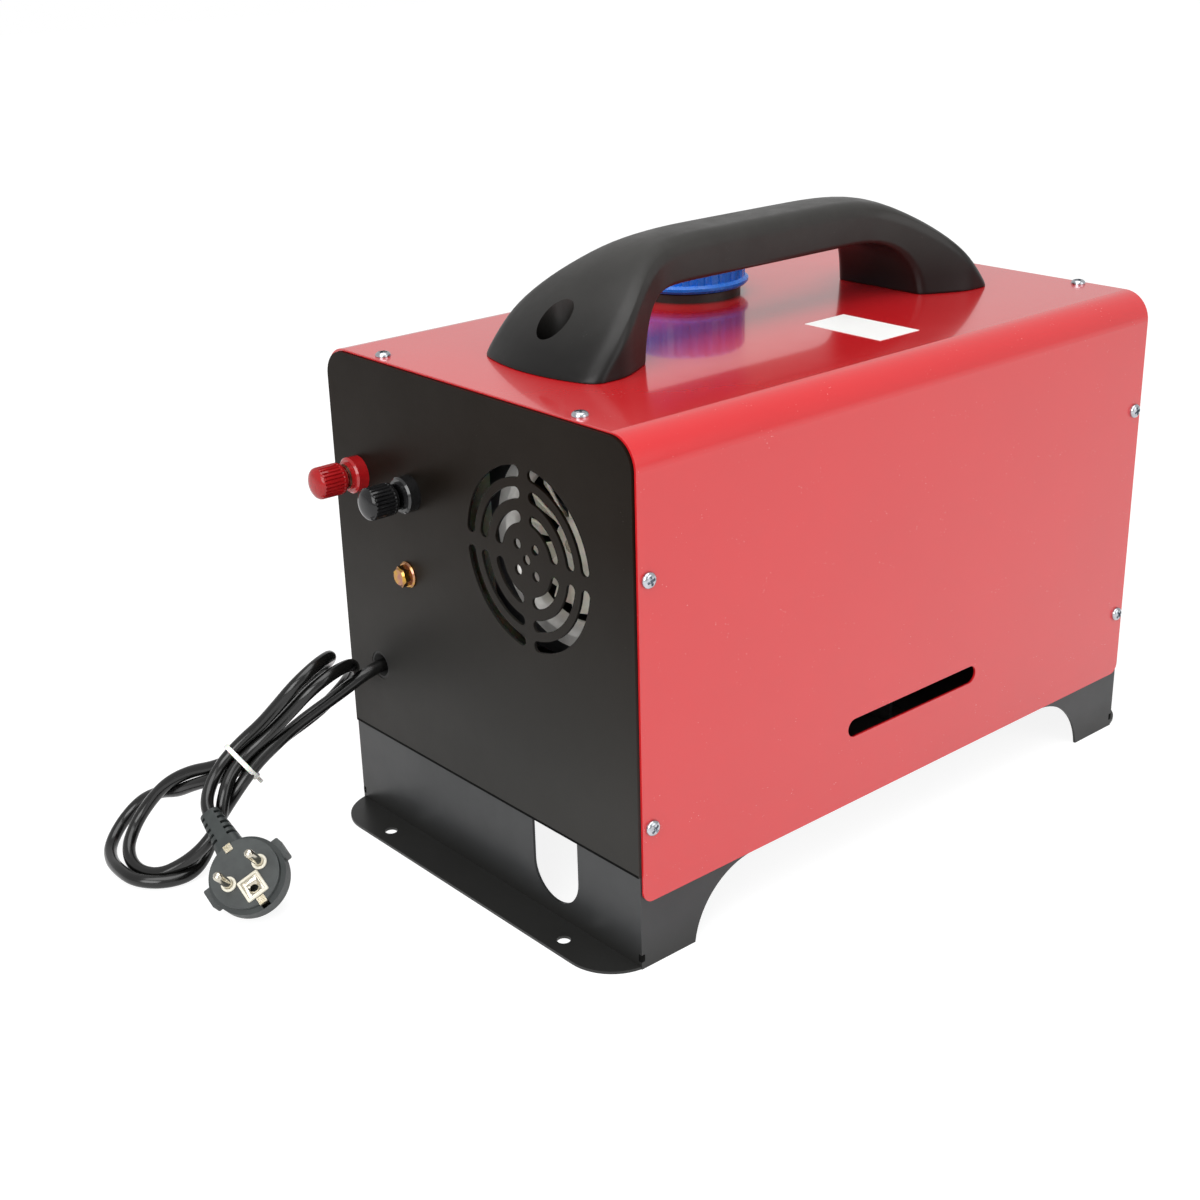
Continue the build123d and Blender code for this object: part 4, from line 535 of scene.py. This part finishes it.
class HEATER_OT_label(bpy.types.Operator):
    """Sticks the blank white label on the cover."""
    bl_idname = "heater.label"
    bl_label = "Blank label"

    def execute(self, context):
        sizes = context.scene.heater_sizes
        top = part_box("cover")[1].z
        label = block((sizes.label_width, sizes.label_length, LABEL_THICKNESS), LABEL_THICKNESS * 0.3, 1)
        settle(label, Matrix.Translation((*LABEL_PLACE, top + LABEL_THICKNESS / 2)))
        label.name = "blank_label"
        # Coated label paper, gloss laminated.
        coat(label, surface("laminated_paper_white", "#F4F4F2", 0.35, "#F0F0EE", patch=30, spread=0.03))
        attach(label, "chassis")
        return {"FINISHED"}


class HEATER_OT_seams(bpy.types.Operator):
    """Paints shadow into the joints of end panels and tray as black strips, and shade into the tray's corner
    reliefs as blocks.
    """
    bl_idname = "heater.seams"
    bl_label = "Panel joints"

    def execute(self, context):
        strips = []
        for name, side in (("inlet_end_panel", 0), ("outlet_end_panel", 1)):
            low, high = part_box(name)
            face = (low, high)[side].x
            strip = block((0.0003, high.y - low.y - 0.0005, 0.0013), 0.0001, 2)
            settle(strip, Matrix.Translation((face, (low.y + high.y) / 2, SEAM_HEIGHT)))
            strips.append(strip)
        # A dead-black block in the bend relief at each corner of the tray is painted shade for the hole.
        shade_block = block((0.0028, 0.0028, 0.0046), 0.0009)
        away, aside, up = TRAY_CORNER
        shade_blocks = copies(shade_block, [Matrix.Translation((x * (away - SHADE_BLOCK_INSET), y * (aside - SHADE_BLOCK_INSET), up))
                              for x in (-1, 1) for y in (-1, 1)])
        joint_shade = join(strips + shade_blocks, "painted_joint_shadows")
        # Painted shadow and shade: the joints and the reliefs as bare, dead-black pieces that hold no light.
        coat(joint_shade, surface("joint_shadow_black", "#050505", 0.8, "#080807", patch=10, grain=(0.6, 0.01),
                            shader={"Specular IOR Level": 0.1}))
        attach(joint_shade, "chassis")
        return {"FINISHED"}


# ---------------------------------------------------------------- handle, screws, posts and fan
def handle_point(lengthways, across, up):
    """Where a point of the unit cube comes to lie on the handle, in mm from the middle of the cover's top."""
    rows = len(HANDLE_LINE) - 1
    inner_x, inner_z, crown_x, crown_z, drop = along(HANDLE_LINE, abs(lengthways) * rows)
    depth = math.hypot(crown_x - inner_x, crown_z - inner_z)
    share = (up + 1) / 2
    spread = clamp((inner_x + (crown_x - inner_x) * share - SPREAD_START) / SPREAD_LENGTH)
    half = GRIP_HALF + FOOT_MORE * spread * spread * (3 - 2 * spread)
    roll = CROWN_ROLL if share > 0.5 else INNER_ROLL
    y, d = across * half, share * depth
    core = Vector((clamp(y, roll - half, half - roll), clamp(d, roll, depth - roll)))
    out = Vector((y, d)) - core
    if out.length > roll:
        out *= roll / out.length
    y, d = core + out
    x = inner_x + (crown_x - inner_x) * d / depth
    z = inner_z + (crown_z - inner_z) * d / depth - drop * (y / half) ** 2 * d / depth
    # The foot's end is an arc, so its corners lie further in.
    x -= FOOT_BOW * (y / half) ** 2 * clamp((x - FOOT_START) / FOOT_LENGTH) ** 2
    return math.copysign(x, lengthways), y, max(z, 0)


class HEATER_OT_handle(bpy.types.Operator):
    """Shapes the carrying handle: a bar that spreads to two wedge feet, with a screw recess in each."""
    bl_idname = "heater.handle"
    bl_label = "Carrying handle"

    def execute(self, context):
        cover_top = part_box("cover")[1].z
        fresh()
        bpy.ops.mesh.primitive_cube_add(size=2)
        handle = context.object
        bpy.ops.object.mode_set(mode="EDIT")
        bpy.ops.mesh.subdivide(number_cuts=31)
        bpy.ops.object.mode_set(mode="OBJECT")
        for vertex in handle.data.vertices:
            x, y, z = handle_point(*vertex.co)
            vertex.co = (x * MM, y * MM, z * MM + cover_top)
        modify(handle, "SUBSURF", levels=1, render_levels=1)
        screw_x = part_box("handle_screws")[1].x - HANDLE_SCREW_HEAD
        for side in (-1, 1):
            cutter = turned([(HANDLE_RECESS, cover_top + height) for height in HANDLE_RECESS_ENDS], 72)
            settle(cutter, Matrix.Translation((side * screw_x, 0, 0)))
            carve(handle, cutter)
        smooth(handle, 38)
        handle.name = "carry_handle_moulding"
        # Spark-eroded ABS: fine even grain, half matt. Painted shade darkens it low down, on the feet and
        # under the grip, so the top of the grip is the palest.
        coat(handle, surface("textured_abs_black", "#2B2A28", 0.36, "#333230", patch=34, grain=(0.8, 0.03),
                             specks=(0.45, 0.03, "#5E5C59"), painted_fade=(0.28, 0.322, "#0E0D0C"),
                             shader={"Specular IOR Level": 0.3}))
        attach(handle, "chassis")
        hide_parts("carry_handle")
        return {"FINISHED"}


class HEATER_OT_cover_screws(bpy.types.Operator):
    """Turns a cross-head pan screw and copies it to the cover's twelve fixing places."""
    bl_idname = "heater.cover_screws"
    bl_label = "Cover screws"

    def execute(self, context):
        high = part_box("cover")[1]
        screw = turned(millimetres((1.9, -7.5), (1.9, 0), (4, 0.05), (4.05, 0.8), (3.7, 1.6), (2.9, 2.2),
                                   (1.7, 2.5), (0.8, 2.55)), 40)
        arms = [block((CROSS_LONG, CROSS_WIDE, CROSS_DEEP), 0.0002),
                block((CROSS_WIDE, CROSS_LONG, CROSS_DEEP), 0.0002)]
        for arm in arms:
            settle(arm, Matrix.Translation((0, 0, CROSS_HEIGHT)))
        carve(screw, *arms)
        smooth(screw)
        # Each head has stopped at an angle of its own.
        places = []
        for x in (-SCREW_X, SCREW_X):
            for side in (-1, 1):
                turn = Matrix.Rotation(0.5 * side, 4, "Z")
                places.append(Matrix.Translation((x, side * TOP_SCREW_Y, high.z)) @ turn)
                wall = Matrix.Rotation(math.radians(-90 * side), 4, "X")
                for height in SIDE_SCREW_HEIGHTS:
                    turn = Matrix.Rotation(height * 9, 4, "Z")
                    places.append(Matrix.Translation((x, side * high.y, height)) @ wall @ turn)
        screws = join(copies(screw, places), "cross_head_screws")
        # Bright zinc plate on steel, barrel finished: cold shine, slightly clouded.
        coat(screws, surface("bright_zinc_plate", "#C9CDD3", 0.22, "#AEB3B9", patch=3, metal=1.0))
        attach(screws, "chassis")
        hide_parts("cover_screws")
        return {"FINISHED"}


class HEATER_OT_post_knobs(bpy.types.Operator):
    """Turns the two binding-post knobs and presses their flutes in."""
    bl_idname = "heater.post_knobs"
    bl_label = "Binding-post knobs"

    def execute(self, context):
        # Phenolic, compression moulded in a polished mould: deep wet shine.
        colours = {"red": ("#A0171A", "#931417"), "black": ("#141415", "#1A1A1B")}
        profile = millimetres((5.6, 0), (5.6, 1.7), (8, 1.9), (8.5, 2.5), (8.6, 3.6), (8.6, 4.1),
                              (8.55, 14.9), (8.35, 15.7), (7.8, 16.5), (6.7, 17.3), (5.1, 17.9),
                              (3.2, 18.3), (1.2, 18.4))
        bottom, top = FLUTE_ENDS
        points = FLUTES * FLUTE_POINTS
        for name, (colour, second) in colours.items():
            low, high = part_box(name + "_post_knob")
            knob = turned(profile, points)
            bpy.ops.object.mode_set(mode="EDIT")
            bpy.ops.mesh.select_all(action="DESELECT")
            bpy.ops.object.mode_set(mode="OBJECT")
            # One row of each flute's points is pressed in.
            for vertex in knob.data.vertices:
                step = round(math.atan2(vertex.co.y, vertex.co.x) / math.tau * points)
                vertex.select = step % FLUTE_POINTS == 0 and bottom < vertex.co.z < top
            context.view_layer.objects.active = knob
            bpy.ops.object.mode_set(mode="EDIT")
            bpy.ops.transform.resize(value=(FLUTE_SHARE, FLUTE_SHARE, 1), center_override=(0, 0, 0))
            bpy.ops.object.mode_set(mode="OBJECT")
            carve(knob, turned(millimetres((3.3, -1), (3.3, 12)), 40))
            smooth(knob, 35)
            middle = (low + high) / 2
            outwards = Matrix.Rotation(-math.pi / 2, 4, "Y")
            settle(knob, Matrix.Translation((high.x, middle.y, middle.z)) @ outwards)
            knob.name = name + "_fluted_knob"
            coat(knob, surface("polished_phenolic_" + name, colour, 0.12, second, patch=6, spread=0.03,
                               grain=(1.2, 0.004), shader={"Specular IOR Level": 0.4}))
            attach(knob, name + "_knob")
            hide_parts(name + "_post_knob")
        return {"FINISHED"}


class HEATER_OT_fan(bpy.types.Operator):
    """Builds the air fan seen behind the grille: a domed hub and sixteen twisted blades."""
    bl_idname = "heater.fan"
    bl_label = "Air fan"

    def execute(self, context):
        low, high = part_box("air_impeller")
        middle = Matrix.Translation((low + high) / 2)
        hub = turned(millimetres((13, -9.5), (14, -8.5), (14, 7), (12.6, 9), (9, 10), (1, 10)), 64)
        settle(hub, middle @ Matrix.Rotation(-math.pi / 2, 4, "Y"))
        blade = block((0.011, 0.0014, 0.0245), 0.0005)
        bpy.ops.object.mode_set(mode="EDIT")
        bpy.ops.mesh.select_all(action="SELECT")
        bpy.ops.mesh.subdivide(number_cuts=3)
        bpy.ops.object.mode_set(mode="OBJECT")
        modify(blade, "SIMPLE_DEFORM", deform_method="TWIST", deform_axis="Z", angle=BLADE_TWIST)
        settle(blade, Matrix.Translation((-0.004, 0, 0.0252)) @ Matrix.Rotation(BLADE_PITCH, 4, "Z"))
        blades = copies(blade, [middle @ Matrix.Rotation(math.tau * n / BLADES, 4, "X")
                                for n in range(BLADES)])
        fan = join([hub, *blades], "air_fan")
        # Moulded natural nylon, ivory, a little see-through at the blades' edges.
        coat(fan, surface("moulded_nylon_ivory", "#FBF4E6", 0.3, "#F0E7D6", patch=10, grain=(0.8, 0.012),
                          shader={"Subsurface Weight": 0.2, "Subsurface Scale": 0.003}))
        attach(fan, "rotor")
        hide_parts("air_impeller")
        return {"FINISHED"}


# ---------------------------------------------------------------- finishes of the CAD nodes
class HEATER_OT_case_finish(bpy.types.Operator):
    """Finishes the sheet-metal case, and the screws, nuts and earth bolt on it."""
    bl_idname = "heater.case_finish"
    bl_label = "Case finishes"

    def execute(self, context):
        # Stoved gloss enamel on steel: a clear, deep shine with a trace of orange peel, and dust on it.
        colour = list(context.scene.heater_colours.enamel)
        deeper = [part * 0.965 for part in colour[:3]] + [1.0]
        enamel = surface("stoved_enamel_red", colour, 0.2, deeper, patch=90, grain=(7.0, 0.012), spread=0.03,
                         specks=(0.45, 0.05, "#F3D5D2"), shader={"Coat Weight": 0.8, "Coat Roughness": 0.06})
        dress(enamel, "cover")
        # Satin powder coat: fine pebbled skin, brown-black with a brown shine, half matt. Greyer low down: a
        # painted grey sheen.
        powder = surface("powder_coat_black", "#0C0704", 0.4, "#120D09", patch=90, grain=(0.9, 0.03),
                         spread=0.05, specks=(0.5, 0.0, "#4A4541"), painted_fade=(0.08, 0.22, "#30302F"),
                         shader={"Specular IOR Level": 0.12, "Specular Tint": (0.8, 0.62, 0.46, 1.0)})
        dress(powder, "inlet_end_panel", "outlet_end_panel")
        # The tray's coat came out a shade greyer and smoother than the panels'. It is darkest on its flanges,
        # next to the floor: painted shade.
        tray_powder = surface("powder_coat_graphite", "#2E2F30", 0.34, "#343536", patch=45, grain=(0.9, 0.02),
                              spread=0.05, specks=(0.5, 0.0, "#55524E"), painted_fade=(0.003, 0.02, "#232322"),
                              shader={"Specular IOR Level": 0.4})
        dress(tray_powder, "base_tray")
        # Bright zinc on steel: barrel plated, cloudy, with a cold shine.
        zinc = surface("bright_zinc_steel", "#C3C6CA", 0.24, "#A9ACAF", patch=3, metal=1.0, grain=(0.5, 0.01))
        dress(zinc, "tray_screws", "handle_nuts", "post_nuts")
        # Black-oxide cap screws, oily and half matt.
        oxide = surface("black_oxide_steel", "#3B3C3E", 0.34, "#2C2D2F", patch=3, metal=1.0,
                        grain=(0.5, 0.01))
        dress(oxide, "handle_screws")
        # Yellow-passivated zinc: gold with a green and pink cast.
        yellow = surface("yellow_passivated_zinc", "#C2973F", 0.22, "#A8766A", patch=4, metal=1.0,
                         grain=(0.7, 0.006))
        dress(yellow, "earth_bolt")
        return {"FINISHED"}


class HEATER_OT_filler_finish(bpy.types.Operator):
    """Finishes the fuel tank, its straps, and the filler with its cap."""
    bl_idname = "heater.filler_finish"
    bl_label = "Tank and filler finishes"

    def execute(self, context):
        # Injection-moulded polypropylene, saturated blue, softly glossy with a little light under its skin.
        dress(surface("moulded_polypropylene_blue", "#1272DC", 0.27, "#106CD2", patch=14, grain=(0.8, 0.005),
                      spread=0.03, shader={"Subsurface Weight": 0.12, "Subsurface Scale": 0.002}),
              "filler_cap")
        # Moulded rubber collar, brown-black and matt.
        dress(surface("moulded_rubber_brown_black", "#2F2924", 0.5, "#38312B", patch=8, grain=(0.6, 0.02)),
              "filler_collar")
        # Blow-moulded natural polyethylene: milky, waxy, slightly rippled.
        dress(surface("blown_polyethylene_natural", "#E4DFCE", 0.42, "#DAD4BF", patch=40, grain=(6.0, 0.08),
                      shader={"Subsurface Weight": 0.4, "Subsurface Scale": 0.006}), "fuel_tank")
        # Hot-dip galvanised strip: pale spangle, dull shine.
        dress(surface("galvanised_steel", "#B4B8BB", 0.38, "#989CA0", patch=7, metal=1.0, grain=(1.5, 0.01)),
              "tank_straps", "core_bracket")
        # Nitrile rubber: dead black, soft.
        dress(surface("nitrile_rubber_black", "#191918", 0.5, "#20201F", patch=6, grain=(0.7, 0.02)),
              "cap_seal", "supply_hose", "burner_hose", "cable_grommet")
        return {"FINISHED"}


class HEATER_OT_core_finish(bpy.types.Operator):
    """Finishes the heater core, its fans and the parts under the cover."""
    bl_idname = "heater.core_finish"
    bl_label = "Heater core finishes"

    def execute(self, context):
        # Glass-filled nylon, moulded: matt black with a faint fibre grain.
        dress(surface("glass_filled_nylon_black", "#1E1E1F", 0.5, "#28282A", patch=10, grain=(0.8, 0.03),
                      stretch=(1, 1, 0.4)), "upper_shell", "lower_shell", "outlet_collar", "outlet_louvre",
              "pump_holder", "fuel_filter")
        # Pressed satin aluminium ring, almost white.
        dress(surface("pressed_bright_aluminium", "#F2F0EC", 0.35, "#E2E0DB", patch=8, metal=0.4,
                      grain=(0.6, 0.006)), "inlet_ring")
        # Die-cast aluminium: pale grey, granular, with dull flow marks.
        dress(surface("die_cast_aluminium", "#A6A8AA", 0.46, "#8E9092", patch=9, metal=1.0,
                      grain=(0.8, 0.05)), "blower_housing", "heat_exchanger", "combustion_impeller")
        # Stainless steel, drawn: fine lines along it and a straw heat tint in patches.
        dress(surface("drawn_stainless_steel", "#B9B8B4", 0.26, "#A79878", patch=14, metal=1.0,
                      grain=(0.4, 0.008), stretch=(1, 1, 0.15)),
              "exhaust_pipe", "combustion_chamber", "glow_plug", "motor_shaft")
        # Drawn aluminium tube and folded aluminium sheet.
        dress(surface("drawn_aluminium", "#C0C2C4", 0.33, "#ACAEB1", patch=12, metal=1.0, grain=(0.5, 0.01),
                      stretch=(0.2, 1, 1)), "intake_pipe", "power_supply")
        # Zinc-plated motor and pump cans.
        dress(surface("zinc_plated_can", "#A4A7AB", 0.3, "#8F9296", patch=10, metal=1.0, grain=(0.5, 0.008)),
              "blower_motor", "fuel_pump")
        # Solder-masked circuit board.
        dress(surface("solder_mask_green", "#1F5C36", 0.35, "#184A2B", patch=4, grain=(0.6, 0.02)),
              "control_board")
        return {"FINISHED"}


class HEATER_OT_control_finish(bpy.types.Operator):
    """Finishes the controls, the binding posts and the plug."""
    bl_idname = "heater.control_finish"
    bl_label = "Controls, posts and plug finishes"

    def execute(self, context):
        # Satin ABS bezel.
        dress(surface("satin_abs_graphite", "#2A2B2D", 0.42, "#313235", patch=12, grain=(0.6, 0.015)),
              "control_bezel")
        # Smoked acrylic over a dark display.
        dress(surface("smoked_acrylic", "#06080A", 0.08, "#090B0E", patch=20, spread=0.02, grain=(8.0, 0.003),
                      shader={"Specular IOR Level": 0.35}), "display_window")
        # Silicone keys, soft grey.
        dress(surface("silicone_grey", "#8C8F92", 0.55, "#84878A", patch=4, grain=(0.4, 0.01)),
              "power_button", "down_button", "up_button", "set_button")
        # Phenolic posts, polished in the mould.
        for name, colour, second in (("red", "#A8161A", "#9A1317"), ("black", "#151516", "#1B1B1C")):
            dress(surface("moulded_phenolic_" + name, colour, 0.16, second, patch=6, grain=(1.0, 0.008),
                          spread=0.04, shader={"Coat Weight": 0.4, "Coat Roughness": 0.08}),
                  name + "_post_base")
        # Nickel-plated brass, turned: warm white metal.
        dress(surface("nickel_plated_brass", "#D8D0BE", 0.2, "#C4B999", patch=3, metal=1.0,
                      grain=(0.3, 0.006)), "post_studs", "red_clamp_washer", "plug_earth_contacts")
        # The black post's washer is black nickel.
        dress(surface("black_nickel_plate", "#2A2A2C", 0.25, "#1E1E20", patch=3, metal=1.0,
                      grain=(0.3, 0.006)), "black_clamp_washer")
        # Plug moulded in matt PVC, slate grey.
        dress(surface("moulded_pvc_slate", "#2B2F2F", 0.45, "#343938", patch=7, grain=(0.6, 0.02)),
              "plug_body")
        return {"FINISHED"}


# ---------------------------------------------------------------- stage
def shown(tree, ray, mirrored):
    """1 for what the camera sees, the mirrored share for what it sees mirrored, and else 0."""
    part = calculate(tree, "MULTIPLY", ray["Is Glossy Ray"], mirrored)
    return calculate(tree, "MAXIMUM", ray["Is Camera Ray"], part)


class HEATER_OT_stage(bpy.types.Operator):
    """Sets the white floor, the soft lamps and the white surroundings."""
    bl_idname = "heater.stage"
    bl_label = "Studio stage"

    def execute(self, context):
        fresh()
        bpy.ops.mesh.primitive_plane_add(size=12)
        floor = context.object
        floor.name = "studio_floor"
        paper = bpy.data.materials.new("studio_paper_white")
        paper.use_nodes = True
        tree = paper.node_tree
        tree.nodes.clear()
        # Mirrored, the paper looks greyer than it does to the camera, so that black parts stay black.
        ray = add_node(tree, "ShaderNodeLightPath").outputs
        seen = shown(tree, ray, FLOOR_MIRRORED)
        matt = add_node(tree, "ShaderNodeBsdfDiffuse", Color=linear("#F2F2F2")).outputs[0]
        grey = add_node(tree, "ShaderNodeBsdfDiffuse", Color=(*[PAPER_GREY] * 3, 1.0)).outputs[0]
        glow = add_node(tree, "ShaderNodeEmission", Strength=PAPER_GLOW).outputs[0]
        bright = add_node(tree, "ShaderNodeAddShader", i0=grey, i1=glow).outputs[0]
        mixed = add_node(tree, "ShaderNodeMixShader", i0=seen, i1=matt, i2=bright).outputs[0]
        add_node(tree, "ShaderNodeOutputMaterial", Surface=mixed)
        coat(floor, paper)
        for name, place, size, power in LAMPS:
            bpy.ops.object.light_add(type="AREA", location=place)
            lamp = context.object
            lamp.name = name
            lamp.data.shape = "SQUARE"
            lamp.data.size = size
            lamp.data.energy = power
            lamp.rotation_euler = (LAMP_TARGET - Vector(place)).to_track_quat("-Z", "Y").to_euler()
        world = bpy.data.worlds.new("white_surroundings")
        context.scene.world = world
        world.use_nodes = True
        tree = world.node_tree
        tree.nodes.clear()
        ray = add_node(tree, "ShaderNodeLightPath").outputs
        seen = shown(tree, ray, SURROUNDINGS_MIRRORED)
        seen = calculate(tree, "MAXIMUM", seen, ray["Is Transmission Ray"])
        soft, white = (add_node(tree, "ShaderNodeBackground", Color=(1, 1, 1, 1), Strength=light).outputs[0]
                       for light in (SURROUNDINGS_LIGHT, 1.0))
        mixed = add_node(tree, "ShaderNodeMixShader", i0=seen, i1=soft, i2=white).outputs[0]
        add_node(tree, "ShaderNodeOutputWorld", Surface=mixed)
        context.scene.view_settings.view_transform = "Standard"
        return {"FINISHED"}


# ---------------------------------------------------------------- panel and run
OPERATORS = (HEATER_OT_camera, HEATER_OT_cable_tie, HEATER_OT_plug_pins, HEATER_OT_plug_trim,
             HEATER_OT_mains_lead, HEATER_OT_label, HEATER_OT_seams, HEATER_OT_handle, HEATER_OT_cover_screws,
             HEATER_OT_post_knobs, HEATER_OT_fan, HEATER_OT_case_finish, HEATER_OT_filler_finish,
             HEATER_OT_core_finish, HEATER_OT_control_finish, HEATER_OT_stage)


class HEATER_PT_panel(bpy.types.Panel):
    """Lists the heater's sizes, colours and pieces in the sidebar."""
    bl_label = "Diesel air heater"
    bl_space_type = "VIEW_3D"
    bl_region_type = "UI"
    bl_category = "Heater"

    def draw(self, context):
        for group in (context.scene.heater_sizes, context.scene.heater_colours):
            for name in group.__annotations__:
                self.layout.prop(group, name)
        for operator in OPERATORS:
            self.layout.operator(operator.bl_idname)


CLASSES = (HeaterSizes, HeaterColours, *OPERATORS, HEATER_PT_panel)


def register():
    """Registers the classes and the scene's two groups of settings."""
    for cls in CLASSES:
        bpy.utils.register_class(cls)
    bpy.types.Scene.heater_sizes = PointerProperty(type=HeaterSizes)
    bpy.types.Scene.heater_colours = PointerProperty(type=HeaterColours)


def unregister():
    """Takes away what register added."""
    del bpy.types.Scene.heater_colours
    del bpy.types.Scene.heater_sizes
    for cls in reversed(CLASSES):
        bpy.utils.unregister_class(cls)


def main():
    """Builds everything by its operators."""
    register()
    for operator in OPERATORS:
        group, name = operator.bl_idname.split(".")
        getattr(getattr(bpy.ops, group), name)()


if __name__ == "__main__":
    main()
